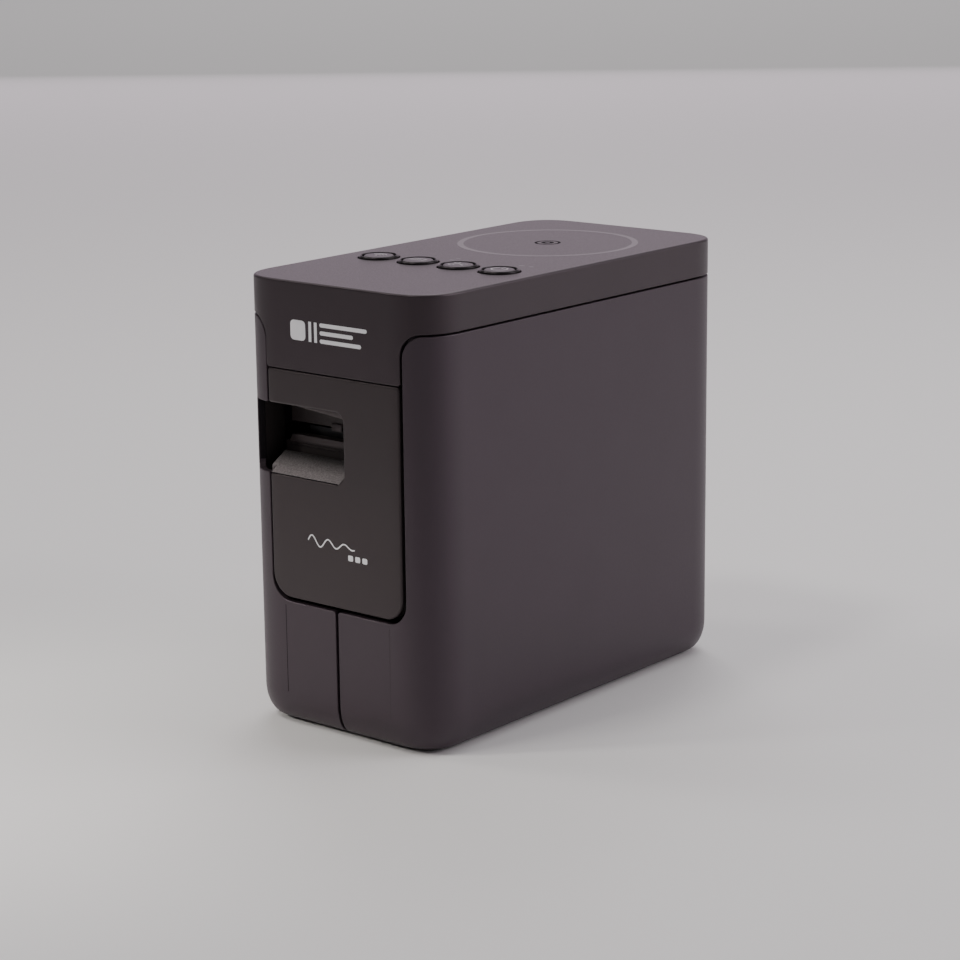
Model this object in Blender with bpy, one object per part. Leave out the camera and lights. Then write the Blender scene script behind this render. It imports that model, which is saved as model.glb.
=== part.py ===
"""Desktop label maker: a tall rounded case that stands on its base, with four keys on the top cover and a
label exit in the front panel. The left half of the case is a door, hinged at the back, over the tape bay.
The design is in millimetres, and solid() turns it into metres. +Z is up, the front faces -Y, and the origin
is under the middle of the case, on the surface that the feet stand on."""

from math import acos, atan2, cos, hypot, pi, radians, sin

import bmesh
import bpy
from mathutils import Matrix

MM = 0.001

# Case
WIDTH = 78.0
DEPTH = 152.0
HEIGHT = 143.0
WALL = 2.2
CORNER = 17.0  # how far a plan corner reaches along each side
CORNER_POWER = 2.7  # a superellipse corner, softer than an arc
FOOT_HEIGHT = 1.0
FOOT_GAP = 0.3
BASE_RISE = 10.0  # the curved bottom edge: its height, and how far it comes in
BASE_INSET = 5.0
TOP_BEVEL = 0.6
GAP = 0.3  # between parts that touch
SEAM = 0.6
BAND_Z = 131.1  # lower edge of the top cover's band
APRON_Z = 115.3  # lower edge of the top cover's apron
APRON_LEFT = -27.1
APRON_RIGHT = 27.5
APRON_FILLET = 7.0
PANEL_LEFT = -26.9
PANEL_RIGHT = 27.0
PANEL_BOTTOM = 42.2
PANEL_CORNER = 8.0
SKIRT_DEPTH = 4.5
SKIRT_WALL = 1.5
PANEL_GAP = 1.2  # the wide shadow gap, right of the panel and below it
SPLIT = 0.5  # half the gap between the left and right shells at the front

# Label exit
EXIT_RIGHT = 4.2
EXIT_LEFT = -33.0
EXIT_LOW = 81.7
EXIT_HIGH = 104.0
EXIT_CORNER = 3.0
EXIT_CHAMFER = 3.2

# Door hinge
HINGE_Y = 72.5
KNUCKLE_R = 3.0
PIN_R = 1.2
DOOR_BACK_X = -3.8
SHELL_BACK_X = 5.4
HINGE_LEVELS = {"lower": 28.0, "upper": 104.0}
KNUCKLE_HALF = 4.0
DOOR_FLOOR_X = (-30.0, 5.0)  # the opening in the door's bottom, over the tray
DOOR_FLOOR_Y = (-67.0, 67.0)
CHANNEL_BOTTOM = 3.6
CHANNEL_LEFT = -9.5

# Keys
KEY_Y = -25.3
KEY_PITCH = 16.55
KEY_R = 6.35
KEY_HOLE_R = 6.85
KEY_FLANGE_R = 7.6
KEY_FLANGE_Z = (139.4, 140.2)
KEY_TOP = HEIGHT + 0.8
KEY_ROUND = 0.4
KEY_NAMES = ("wireless_button", "mode_button", "feed_cut_button", "power_button")

# Chassis and tape bay
PLATE_X = (4.5, 6.3)
CHASSIS_Y = (-63.5, 66.4)
CHASSIS_TOP = 128.0
TRAY_LEFT = -29.4
SCREW_SPOTS = {"front_low": (-59, 12), "front_high": (-59, 120), "rear_low": (61, 72), "rear_high": (61, 120)}
SCREW_R = 1.0
BOSS_R = 3.2

# Tape cassette: tape runs level at TAPE_Z, from the roll to the exit
TAPE_Z = 93.9
TAPE_X = (-24.0, 0.0)
ROLL = (5.0, 72.3)  # (y, z) of the roll's axis
ROLL_R = 21.0
RIBBON = (-34.0, 57.0)
RIBBON_R = 8.8
CASE_X = (-26.1, 3.9)
LID_X = (-28.5, -26.4)
CASE_OUTLINE = ((-46, 44), (31, 44), (31, 98.5), (-27, 98.5), (-27, 72), (-46, 72))

# Gear train, behind the chassis plate
MODULE = 0.8
GEAR_X = (8.0, 12.0)
TEETH = {"motor": 12, "idler": 32, "platen": 16, "ribbon": 24}
PLATEN = (-36.0, 98.2)
PLATEN_R = 3.7
HOLDER_PIVOT = (-10.0, 110.0)

# Cutter: the moving blade turns about an axis along Y, and its toothed end meets the cutter pinion
CUT_PIVOT = (10.0, 94.5)  # (x, z)
CUT_MODULE = 1.0
CUT_SECTOR_TEETH = 20  # of a full circle
CUT_PINION_TEETH = 8
CUT_OPEN = 18.0  # degrees
BLADE_Y = (-58.3, -57.5)
FIXED_BLADE_Y = (-57.1, -56.3)

# Battery bay, under the right shell
BATTERY_DOOR_X = (7.4, 33.6)
BATTERY_DOOR_Y = (8.0, 58.8)
BATTERY_BOX = ((6.7, 7.0, 9.0), (35.0, 59.8, 59.0))

# Sockets at the back
JACK_SPOT = (14.0, 19.5)  # (x, z) of the power jack
JACK_HOLE_R = 4.2
USB_X = (20.5, 28.5)
USB_Z = (12.9, 17.2)

BLACK = (0.033, 0.029, 0.030)
STEEL = (0.62, 0.62, 0.63)
BOARD_GREEN = (0.02, 0.11, 0.05)


# ---------------------------------------------------------------- materials and solids

def material(name, colour, roughness, metallic=0.0):
    """A Principled material, made once and then shared by name."""
    known = bpy.data.materials.get(name)
    if known:
        return known
    made = bpy.data.materials.new(name)
    made.use_nodes = True
    shader = made.node_tree.nodes["Principled BSDF"]
    shader.inputs["Base Color"].default_value = (*colour, 1.0)
    shader.inputs["Roughness"].default_value = roughness
    shader.inputs["Metallic"].default_value = metallic
    return made


def case_plastic():
    return material("case_plastic", BLACK, 0.42)


def inner_plastic():
    return material("inner_plastic", (0.07, 0.07, 0.075), 0.55)


def steel():
    return material("steel", STEEL, 0.3, 1.0)


def gear_plastic():
    return material("gear_plastic", (0.75, 0.74, 0.70), 0.5)


def circuit_board():
    return material("circuit_board", BOARD_GREEN, 0.5)


def solid(name, points, faces, surface, origin=(0, 0, 0), smooth=False):
    """One object from points and faces in millimetres, with its own origin."""
    mesh = bpy.data.meshes.new(name)
    places = [[(value - start) * MM for value, start in zip(point, origin)] for point in points]
    mesh.from_pydata(places, [], faces)
    shaper = bmesh.new()
    shaper.from_mesh(mesh)
    bmesh.ops.recalc_face_normals(shaper, faces=shaper.faces)
    shaper.to_mesh(mesh)
    shaper.free()
    mesh.materials.append(surface)
    if smooth:
        mesh.shade_smooth()
        mesh.set_sharp_from_angle(angle=radians(40))
    made = bpy.data.objects.new(name, mesh)
    made.location = [value * MM for value in origin]
    bpy.context.scene.collection.objects.link(made)
    return made


def loft(name, rings, surface, origin=(0, 0, 0), smooth=True):
    """A closed solid through rings of equal point count, capped at both ends."""
    count = len(rings[0])
    points = [point for ring in rings for point in ring]
    faces = [tuple(range(count)), tuple(range(len(points) - count, len(points)))]
    for level in range(len(rings) - 1):
        for spot in range(count):
            low = level * count
            turn = (spot + 1) % count
            faces.append((low + spot, low + turn, low + count + turn, low + count + spot))
    return solid(name, points, faces, surface, origin, smooth)


def place(axis, along, pair):
    """The point at `along` on an axis, with its other two coordinates in X, Y, Z order."""
    point = list(pair)
    point.insert("XYZ".index(axis), along)
    return tuple(point)


def prism(name, outline, axis, span, surface, origin=(0, 0, 0), smooth=False):
    """An outline drawn across an axis, extruded along it over span."""
    rings = [[place(axis, along, pair) for pair in outline] for along in span]
    return loft(name, rings, surface, origin, smooth)


def box(name, low, high, surface, origin=(0, 0, 0)):
    outline = ((low[0], low[1]), (high[0], low[1]), (high[0], high[1]), (low[0], high[1]))
    return prism(name, outline, "Z", (low[2], high[2]), surface, origin)


def circle(centre, radius, sides=20):
    turns = [2 * pi * (step + 0.5) / sides for step in range(sides)]
    return [(centre[0] + radius * cos(turn), centre[1] + radius * sin(turn)) for turn in turns]


def turned(name, profile, axis, centre, surface, sides=20, origin=(0, 0, 0)):
    """A round solid: profile is a list of (radius, distance along the axis)."""
    rings = [[place(axis, along, pair) for pair in circle(centre, radius, sides)]
             for radius, along in profile]
    return loft(name, rings, surface, origin)


def rod(name, axis, centre, radius, span, surface, sides=20, origin=(0, 0, 0)):
    return turned(name, [(radius, span[0]), (radius, span[1])], axis, centre, surface, sides, origin)


def combine(target, tool, operation):
    """Adds a Boolean, and makes the tool a hidden cutter."""
    tool.hide_render = True
    tool.display_type = "WIRE"
    step = target.modifiers.new(tool.name, "BOOLEAN")
    step.operation = operation
    step.solver = "EXACT"
    step.object = tool
    return target


def cut(target, *tools):
    for tool in tools:
        combine(target, tool, "DIFFERENCE")
    return target


def fuse(target, *tools):
    for tool in tools:
        combine(target, tool, "UNION")
    return target


def tool_name(owner, purpose):
    return f"{owner}.{purpose}"


# ---------------------------------------------------------------- case form

def corner_arc(extent, steps=7):
    """A superellipse quarter from (extent, 0) to (0, extent)."""
    turns = [pi / 2 * step / steps for step in range(steps + 1)]
    power = 2 / CORNER_POWER
    return [(extent * max(cos(turn), 0) ** power, extent * max(sin(turn), 0) ** power) for turn in turns]


def plan(inset):
    """The case's plan outline, brought in by inset, counterclockwise."""
    reach = CORNER - inset
    across = WIDTH / 2 - CORNER
    along = DEPTH / 2 - CORNER
    arc = corner_arc(reach)
    outline = [(across + a, along + b) for a, b in arc]
    outline += [(-across - a, along + b) for a, b in reversed(arc)]
    outline += [(-across - a, -along - b) for a, b in arc]
    outline += [(across + a, -along - b) for a, b in reversed(arc)]
    return outline


def case_levels(inset, bottom, top, bevel):
    """(height, inset) pairs up the case, from its curved bottom edge to its top."""
    turns = [pi / 2 * step / 5 for step in range(6)]
    levels = [(bottom + BASE_RISE * (1 - cos(turn)), inset + BASE_INSET * (1 - sin(turn))) for turn in turns]
    levels += [(top - bevel, inset), (top, inset + bevel)] if bevel else [(top, inset)]
    return levels


def case_form(name, inset, bottom, top, bevel=0.0):
    rings = [[(x, y, z) for x, y in plan(step)] for z, step in case_levels(inset, bottom, top, bevel)]
    return loft(name, rings, case_plastic())


def casing(name, origin=(0, 0, 0)):
    """The whole hollow case, from which each outer part is then cut."""
    whole = case_form(name, 0, FOOT_HEIGHT, HEIGHT, TOP_BEVEL)
    whole.data.transform(Matrix.Translation([-value * MM for value in origin]))
    whole.location = [value * MM for value in origin]
    hollow = case_form(tool_name(name, "hollow"), WALL, FOOT_HEIGHT + WALL, HEIGHT - WALL)
    return cut(whole, hollow)


def rounded(points, arcs=5):
    """An outline whose points may carry a corner radius: (x, z, radius)."""
    outline = []
    for spot, point in enumerate(points):
        radius = point[2] if len(point) > 2 else 0
        if not radius:
            outline.append(point[:2])
            continue
        before, after = points[spot - 1], points[(spot + 1) % len(points)]
        outline += _fillet(before, point, after, radius, arcs)
    return outline


def _fillet(before, corner, after, radius, arcs):
    """Points of the arc that rounds one corner of an outline."""
    to_before = _unit(corner, before)
    to_after = _unit(corner, after)
    half = acos(to_before[0] * to_after[0] + to_before[1] * to_after[1]) / 2
    middle = (to_before[0] + to_after[0], to_before[1] + to_after[1])
    scale = radius / sin(half) / hypot(*middle)
    centre = (corner[0] + middle[0] * scale, corner[1] + middle[1] * scale)
    run = radius * cos(half) / sin(half)
    first = (corner[0] + to_before[0] * run, corner[1] + to_before[1] * run)
    last = (corner[0] + to_after[0] * run, corner[1] + to_after[1] * run)
    start = atan2(first[1] - centre[1], first[0] - centre[0])
    sweep = atan2(last[1] - centre[1], last[0] - centre[0]) - start
    sweep = (sweep + pi) % (2 * pi) - pi
    turns = [start + sweep * step / arcs for step in range(arcs + 1)]
    return [(centre[0] + radius * cos(turn), centre[1] + radius * sin(turn)) for turn in turns]


def _unit(start, end):
    across, up = end[0] - start[0], end[1] - start[1]
    length = hypot(across, up)
    return across / length, up / length


def cover_outline(spread, drop):
    """Front outline of the band and apron, enlarged downward and sideways by spread and drop."""
    left, right = APRON_LEFT - spread, APRON_RIGHT + spread
    band, apron = BAND_Z - drop, APRON_Z - drop
    far = WIDTH
    return rounded([
        (-far, HEIGHT + 5), (-far, band), (left, band, APRON_FILLET), (left, apron), (right, apron),
        (right, band, APRON_FILLET), (far, band), (far, HEIGHT + 5),
    ])


def panel_outline(spread):
    """Front outline of the front panel, enlarged by spread."""
    low = PANEL_BOTTOM - spread
    return rounded([
        (PANEL_LEFT - min(spread, GAP), low, PANEL_CORNER), (PANEL_RIGHT + spread, low, PANEL_CORNER - 1),
        (PANEL_RIGHT + spread, APRON_Z - GAP), (PANEL_LEFT - min(spread, GAP), APRON_Z - GAP),
    ])


def front_opening(name):
    """What the shells leave open at the front, for the panel and the apron."""
    over = prism(name, cover_outline(SEAM, SEAM), "Y", (-DEPTH, -DEPTH / 2 + 12), case_plastic())
    lower = panel_outline(PANEL_GAP)[:-2]
    lower += [(PANEL_RIGHT + PANEL_GAP, APRON_Z + 2), (PANEL_LEFT - GAP, APRON_Z + 2)]
    below = prism(tool_name(name, "panel"), lower, "Y", (-DEPTH, -DEPTH / 2 + 12), case_plastic())
    return fuse(over, below)


def above_band(name, drop):
    """Everything above the shells' top edge, behind the front."""
    return box(name, (-WIDTH, -DEPTH / 2 + 11, BAND_Z - drop), (WIDTH, DEPTH, HEIGHT + 5), case_plastic())


def exit_outline(left, spread=0.0):
    """Front outline of the label exit, from a given left end."""
    return rounded([
        (left, EXIT_LOW - spread), (EXIT_RIGHT + spread, EXIT_LOW - spread, EXIT_CHAMFER),
        (EXIT_RIGHT + spread, EXIT_HIGH + spread, EXIT_CORNER), (left, EXIT_HIGH + spread),
    ], 3)


# ---------------------------------------------------------------- outer parts

def knuckle(name, z_low, z_high):
    return rod(name, "Z", (0, HINGE_Y), KNUCKLE_R, (z_low, z_high), case_plastic())


def pin_bore(name):
    return rod(name, "Z", (0, HINGE_Y), PIN_R + GAP, (5, BAND_Z), case_plastic(), 16)


def make_right_shell():
    """The fixed half: right side, bottom, and the hinge channel at the back."""
    name = "right_shell"
    shell = casing(name)
    cut(shell, box(tool_name(name, "left_half"), (-WIDTH, -DEPTH, -5), (SPLIT, 50, HEIGHT + 5),
                   case_plastic()))
    cut(shell, box(tool_name(name, "back_left"), (-WIDTH, 49, -5), (SHELL_BACK_X, DEPTH, HEIGHT + 5),
                   case_plastic()))
    cut(shell, above_band(tool_name(name, "band"), SEAM), front_opening(tool_name(name, "front")))
    side, back, front = SHELL_BACK_X + 0.2, DEPTH / 2 - 0.5, HINGE_Y - 3.7
    liner = [(side, back), (side, front), (CHANNEL_LEFT, front), (CHANNEL_LEFT, front - 1.8),
             (side + 2.0, front - 1.8), (side + 2.0, back)]
    fuse(shell, prism(tool_name(name, "channel"), liner, "Z", (CHANNEL_BOTTOM, BAND_Z - SEAM),
                      case_plastic()))
    for level, z in HINGE_LEVELS.items():
        for side, low in (("below", z - 3 * KNUCKLE_HALF), ("above", z + KNUCKLE_HALF)):
            high = low + 2 * KNUCKLE_HALF
            web = box(tool_name(name, f"web_{level}_{side}"), (1.5, 70.2, low + 0.1),
                      (SHELL_BACK_X + 1.0, 73.2, high - 0.1), case_plastic())
            fuse(shell, knuckle(tool_name(name, f"knuckle_{level}_{side}"), low, high), web)
    cut(shell, pin_bore(tool_name(name, "pin_bore")))
    for spot, (y, z) in SCREW_SPOTS.items():
        fuse(shell, rod(tool_name(name, f"boss_{spot}"), "X", (y, z), BOSS_R,
                        (PLATE_X[1] + 0.4, WIDTH / 2 - 1.5), case_plastic(), 12))
    for spot, (y, z) in SCREW_SPOTS.items():
        cut(shell, rod(tool_name(name, f"pilot_{spot}"), "X", (y, z), SCREW_R + GAP, (5, 14), case_plastic(),
                       10))
    cut(shell, prism(tool_name(name, "battery_opening"), rectangle(BATTERY_DOOR_X, BATTERY_DOOR_Y), "Z",
                     (-2, 12), case_plastic()))
    cut(shell, rod(tool_name(name, "jack_hole"), "Y", JACK_SPOT, JACK_HOLE_R, (70, DEPTH), case_plastic(),
                   20))
    cut(shell, prism(tool_name(name, "usb_hole"), rectangle(USB_X, USB_Z, 0.4), "Y", (70, DEPTH),
                     case_plastic()))
    return shell


def rectangle(first, second, spread=0.0):
    low_a, high_a = first[0] - spread, first[1] + spread
    low_b, high_b = second[0] - spread, second[1] + spread
    return [(low_a, low_b), (high_a, low_b), (high_a, high_b), (low_a, high_b)]


def make_left_shell(hinge):
    """The door over the tape bay: left side, half the front, half the back and the bottom edge."""
    name = "left_shell"
    door = casing(name, (0, HINGE_Y, 0))
    cut(door, box(tool_name(name, "right_half"), (-SPLIT, -DEPTH, -5), (WIDTH, 50, HEIGHT + 5),
                  case_plastic()))
    cut(door, box(tool_name(name, "back_right"), (DOOR_BACK_X, 49, -5), (WIDTH, DEPTH, HEIGHT + 5),
                  case_plastic()))
    cut(door, above_band(tool_name(name, "band"), SEAM), front_opening(tool_name(name, "front")))
    cut(door, prism(tool_name(name, "floor"), rectangle(DOOR_FLOOR_X, DOOR_FLOOR_Y), "Z", (-2, 6),
                    case_plastic()))
    cut(door, prism(tool_name(name, "exit_notch"), rounded([
        (EXIT_LEFT, EXIT_LOW, 3.0), (0, EXIT_LOW), (0, EXIT_HIGH), (EXIT_LEFT, EXIT_HIGH, 1.0)]), "Y",
        (-DEPTH, -62), case_plastic()))
    for level, z in HINGE_LEVELS.items():
        low, high = z - KNUCKLE_HALF + GAP, z + KNUCKLE_HALF - GAP
        tongue = box(tool_name(name, f"tongue_{level}"), (-8, 73.0, low + 0.1), (0, 75.3, high - 0.1),
                     case_plastic())
        fuse(door, knuckle(tool_name(name, f"knuckle_{level}"), low, high), tongue)
    cut(door, pin_bore(tool_name(name, "pin_bore")))
    for level, z in (("low", 20.0), ("high", 34.0)):
        fuse(door, prism(tool_name(name, f"latch_{level}"), [
            (-4.5, -74.5), (-1.5, -74.5), (-1.5, -69.5), (-0.9, -68.8), (-1.5, -68.0), (-2.7, -68.0),
            (-2.7, -73.0), (-4.5, -73.0)], "Z", (z - 3, z + 3), case_plastic()))
    attach(door, hinge)
    return door


def make_top_cover():
    """Top, band and apron in one moulding, with four key holes."""
    name = "top_cover"
    cover = casing(name)
    cut(cover, box(tool_name(name, "below_band"), (-WIDTH, -DEPTH / 2 + 8, -5), (WIDTH, DEPTH, BAND_Z),
                   case_plastic()))
    keep = prism(tool_name(name, "front"), cover_outline(0, 0), "Y", (-DEPTH, -DEPTH / 2 + 9), case_plastic())
    fuse(keep, box(tool_name(name, "behind"), (-WIDTH, -DEPTH / 2 + 8, BAND_Z - 1),
                   (WIDTH, DEPTH, HEIGHT + 5), case_plastic()))
    combine(cover, keep, "INTERSECT")
    for spot in range(4):
        cut(cover, rod(tool_name(name, f"key_hole_{spot + 1}"), "Z", (key_x(spot), KEY_Y), KEY_HOLE_R,
                       (HEIGHT - 5, HEIGHT + 2), case_plastic(), 28))
    return cover


def panel_skirt(name):
    """Lip behind the panel's right side and bottom, which closes the shadow gap."""
    front = -DEPTH / 2 + WALL - 0.5
    skirt = prism(name, panel_outline(-0.05), "Y", (front, front + SKIRT_DEPTH), case_plastic())
    inside = prism(tool_name(name, "inside"), panel_outline(-SKIRT_WALL), "Y", (front - 1, 0), case_plastic())
    rest = box(tool_name(name, "rest"), (-WIDTH, -DEPTH, PANEL_BOTTOM + PANEL_CORNER), (20, 0, HEIGHT),
               case_plastic())
    return cut(skirt, inside, rest)


def make_front_panel():
    name = "front_panel"
    panel = casing(name)
    combine(panel, prism(tool_name(name, "outline"), panel_outline(0), "Y", (-DEPTH, -DEPTH / 2 + 12),
                         case_plastic()), "INTERSECT")
    fuse(panel, panel_skirt(tool_name(name, "skirt")))
    cut(panel, prism(tool_name(name, "exit"), exit_outline(-WIDTH), "Y", (-DEPTH, -60), case_plastic()))
    return panel


def make_battery_cover(hinge):
    """The piece of the curved bottom that closes the battery bay."""
    name = "battery_cover"
    cover = casing(name, (21, BATTERY_DOOR_Y[0] + GAP, FOOT_HEIGHT))
    combine(cover, prism(tool_name(name, "outline"), rectangle(BATTERY_DOOR_X, BATTERY_DOOR_Y, -GAP), "Z",
                         (-2, 12), case_plastic()), "INTERSECT")
    for side, x in (("left", 13.0), ("right", 27.0)):
        fuse(cover, box(tool_name(name, f"rib_{side}"), (x - 0.6, 14, 2.5), (x + 0.6, 54, 4.6),
                        case_plastic()))
    attach(cover, hinge)
    return cover


def make_exit_chute():
    """Ramp under the label exit, with the bar behind it that the label slides over."""
    name = "exit_chute"
    chute = prism(name, [
        (-73.4, 79.0), (-73.4, 81.4), (-66.0, 87.6), (-63.0, 87.6), (-63.0, 91.2), (-59.4, 91.2),
        (-59.4, 79.0)],
        "X", (-26.6, 3.9), inner_plastic())
    return chute


def make_feet():
    """Four rubber pads. The rear right one sits further back, behind the battery cover."""
    rubber = material("foot_rubber", (0.02, 0.02, 0.02), 0.8)
    spots = {"front_left": (-20, -54), "front_right": (20, -54), "rear_left": (-20, 57),
             "rear_right": (20, 66)}
    for corner, spot in spots.items():
        turned(f"foot_{corner}", [(3.6, 0), (4.0, 0.3), (4.0, FOOT_HEIGHT - FOOT_GAP)], "Z", spot, rubber, 20)


def make_hinge_pins():
    for level, z in HINGE_LEVELS.items():
        rod(f"hinge_pin_{level}", "Z", (0, HINGE_Y), PIN_R, (z - 3 * KNUCKLE_HALF, z + 3 * KNUCKLE_HALF),
            steel(), 12)


# ---------------------------------------------------------------- keys and boards

def key_x(spot):
    return (spot - 1.5) * KEY_PITCH


def make_keys():
    """Four caps, each held under the cover by its flange."""
    low, high = KEY_FLANGE_Z
    profile = [(2.0, low - 0.8), (2.0, low), (KEY_FLANGE_R, low), (KEY_FLANGE_R, high), (KEY_R, high + 0.1),
               (KEY_R, KEY_TOP - KEY_ROUND - 0.2), (KEY_R - KEY_ROUND, KEY_TOP - 0.2),
               (KEY_R - 2.5, KEY_TOP - 0.1), (0.5, KEY_TOP)]
    for spot, name in enumerate(KEY_NAMES):
        centre = (key_x(spot), KEY_Y)
        turned(name, profile, "Z", centre, case_plastic(), 24, (*centre, low))


def make_key_board():
    """Board under the keys, with a switch under each one."""
    name = "key_board"
    board = box(name, (-32, KEY_Y - 9, 132.6), (35, KEY_Y + 9, 134.2), circuit_board())
    for spot in range(4):
        x = key_x(spot)
        fuse(board, box(tool_name(name, f"switch_{spot + 1}"), (x - 3, KEY_Y - 3, 134.1),
                        (x + 3, KEY_Y + 3, 136.6), circuit_board()))
        fuse(board, rod(tool_name(name, f"plunger_{spot + 1}"), "Z", (x, KEY_Y), 1.6, (136.5, 137.6),
                        circuit_board(), 12))
    return board


def make_antenna():
    """Short-range antenna coil on its carrier, under the ring that is printed on the top."""
    name = "tap_antenna"
    coil = rod(name, "Z", (0, 30.5), 27.0, (139.3, 140.3), circuit_board(), 36)
    return cut(coil, rod(tool_name(name, "middle"), "Z", (0, 30.5), 20.0, (138, 141), circuit_board(), 36))


def make_main_board():
    name = "main_board"
    board = box(name, (33.0, -52, 14), (34.6, 4, 61.5), circuit_board())
    chips = {"processor": ((30.8, -40, 30), (33.2, -26, 44)), "memory": ((31.4, -20, 34), (33.2, -12, 44)),
             "driver": ((31.2, -49, 48), (33.2, -41, 56)), "head_socket": ((29.0, -34, 16), (33.2, -14, 20))}
    for part, (low, high) in chips.items():
        fuse(board, box(tool_name(name, part), low, high, circuit_board()))
    for spot, y in enumerate((-46, -38, -4)):
        fuse(board, rod(tool_name(name, f"capacitor_{spot + 1}"), "X", (y, 22), 3.0, (24.5, 33.2),
                        circuit_board(), 14))
    return board


def make_wireless_module():
    box("wireless_module", (30.9, -22, 49), (32.7, -4, 59), steel())


def make_key_cable():
    """Flat cable from the key board down to the main board."""
    box("key_cable", (33.6, -26, 61.8), (33.9, -12, 132.3), material("cable_film", (0.8, 0.8, 0.78), 0.4))


def make_sockets():
    """Power jack and data port, on their own board at the back."""
    box("io_board", (8, 61.6, 11.0), (29, 70.2, 12.6), circuit_board())
    x, z = JACK_SPOT
    jack = box("dc_jack", (x - 5, 61.8, 12.9), (x + 5, 73.4, z + 5.5), inner_plastic())
    cut(jack, rod("dc_jack.socket", "Y", JACK_SPOT, 2.9, (64, 80), inner_plastic(), 20))
    fuse(jack, rod("dc_jack.pin", "Y", JACK_SPOT, 0.9, (63, 72.4), inner_plastic(), 10))
    port = box("usb_port", (USB_X[0], 64, USB_Z[0]), (USB_X[1], 75.4, USB_Z[1]), steel())
    cut(port, prism("usb_port.socket", rectangle(USB_X, USB_Z, -0.5), "Y", (66, 80), steel()))


# ---------------------------------------------------------------- battery bay

def make_battery_bay():
    low, high = BATTERY_BOX
    wall = 0.8
    bay = box("battery_box", low, high, inner_plastic())
    cut(bay, box("battery_box.room", (low[0] + wall, low[1] + wall, low[2] - 5),
                 (high[0] - wall, high[1] - wall, high[2] - wall), inner_plastic()))
    inner_low = (low[0] + wall + GAP, low[1] + wall + GAP, 5.4)
    inner_high = (high[0] - wall - 1.2, high[1] - wall - GAP, high[2] - 3.0)
    pack = rounded([(inner_low[0], inner_low[1], 3), (inner_high[0], inner_low[1], 3),
                    (inner_high[0], inner_high[1], 3), (inner_low[0], inner_high[1], 3)], 4)
    prism("battery_pack", pack, "Z", (inner_low[2], inner_high[2]),
          material("pack_grey", (0.1, 0.1, 0.11), 0.5))
    box("battery_contacts", (14, 20, inner_high[2] + GAP), (28, 32, high[2] - wall - GAP),
        material("contact_brass", (0.75, 0.55, 0.22), 0.3, 1.0))


# ---------------------------------------------------------------- chassis

def make_chassis():
    """Floor of the tape bay and the upright plate that carries the mechanism."""
    name = "chassis"
    left, right = PLATE_X
    frame = prism(name, [
        (TRAY_LEFT, 1.0), (0.1, 1.0), (0.1, 3.6), (right, 3.6), (right, CHASSIS_TOP), (left, CHASSIS_TOP),
        (left, 5.4), (-1.7, 5.4), (-1.7, 3.0), (TRAY_LEFT, 3.0)], "Y", CHASSIS_Y, inner_plastic())
    fuse(frame, rod(tool_name(name, "roll_post"), "X", ROLL, 3.6, (-22, left + 0.5), inner_plastic()))
    holes = {"ribbon": (RIBBON, 2.8), "platen": ((PLATEN[0] - 0.6, PLATEN[1] + 1.2), 4.4),
             "idler": (idler_spot(), 1.2)}
    for spot, place_yz in SCREW_SPOTS.items():
        holes[f"screw_{spot}"] = (place_yz, SCREW_R + GAP)
    for part, (centre, radius) in holes.items():
        cut(frame, rod(tool_name(name, part), "X", centre, radius, (3, 8), inner_plastic(), 14))
    window = rectangle((-62.0, -53.0), (78.0, 112.0))
    cut(frame, prism(tool_name(name, "cutter_window"), window, "X", (3, 8), inner_plastic()))
    return frame


def make_chassis_screws():
    """Screws through the chassis plate into the right shell's bosses."""
    for spot, centre in SCREW_SPOTS.items():
        turned(f"screw_{spot}", [(1.6, 1.9), (2.6, 2.5), (2.6, 4.2), (SCREW_R, 4.2), (SCREW_R, 12.5)], "X",
               centre, steel(), 12)


# ---------------------------------------------------------------- tape cassette

def make_cassette():
    name = "cassette_case"
    clear = material("cassette_plastic", (0.55, 0.56, 0.58), 0.35)
    case = prism(name, CASE_OUTLINE, "X", CASE_X, clear)
    pocket_x = (CASE_X[0] - 2, 1.9)
    cut(case, rod(tool_name(name, "roll_pocket"), "X", ROLL, ROLL_R + 1.2, pocket_x, clear, 32),
        rod(tool_name(name, "ribbon_pocket"), "X", RIBBON, RIBBON_R + 0.8, pocket_x, clear, 24),
        box(tool_name(name, "tape_channel"), (TAPE_X[0] - 0.8, -30, TAPE_Z - 0.7), (TAPE_X[1] + 0.8, ROLL[0],
            TAPE_Z + 1.0), clear),
        rod(tool_name(name, "post_hole"), "X", ROLL, 4.6, (0, 6), clear, 16),
        rod(tool_name(name, "spindle_hole"), "X", RIBBON, 3.0, (0, 6), clear, 16))
    lid = prism("cassette_lid", CASE_OUTLINE, "X", LID_X, clear)
    cut(lid, rod("cassette_lid.window", "X", ROLL, 6.0, (LID_X[0] - 2, 0), clear, 24),
        rod("cassette_lid.ribbon_window", "X", RIBBON, 4.0, (LID_X[0] - 2, 0), clear, 20))


def make_spools():
    """Roll of label tape and spool of ink ribbon, each turning on its own axis."""
    paper = material("label_stock", (0.85, 0.84, 0.80), 0.6)
    roll = rod("tape_spool", "X", ROLL, ROLL_R, TAPE_X, paper, 36, (0, *ROLL))
    cut(roll, rod("tape_spool.bore", "X", ROLL, 4.4, (-30, 5), paper, 16))
    ribbon = material("ink_ribbon", (0.02, 0.02, 0.022), 0.3)
    spool = rod("ribbon_spool", "X", RIBBON, RIBBON_R, TAPE_X, ribbon, 28, (0, *RIBBON))
    cut(spool, rod("ribbon_spool.bore", "X", RIBBON, 2.4, (-30, 5), ribbon, 12))
    box("label_tape", (TAPE_X[0], -50, TAPE_Z), (TAPE_X[1], ROLL[0] - 2, TAPE_Z + 0.3), paper)


# ---------------------------------------------------------------- gears

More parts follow.
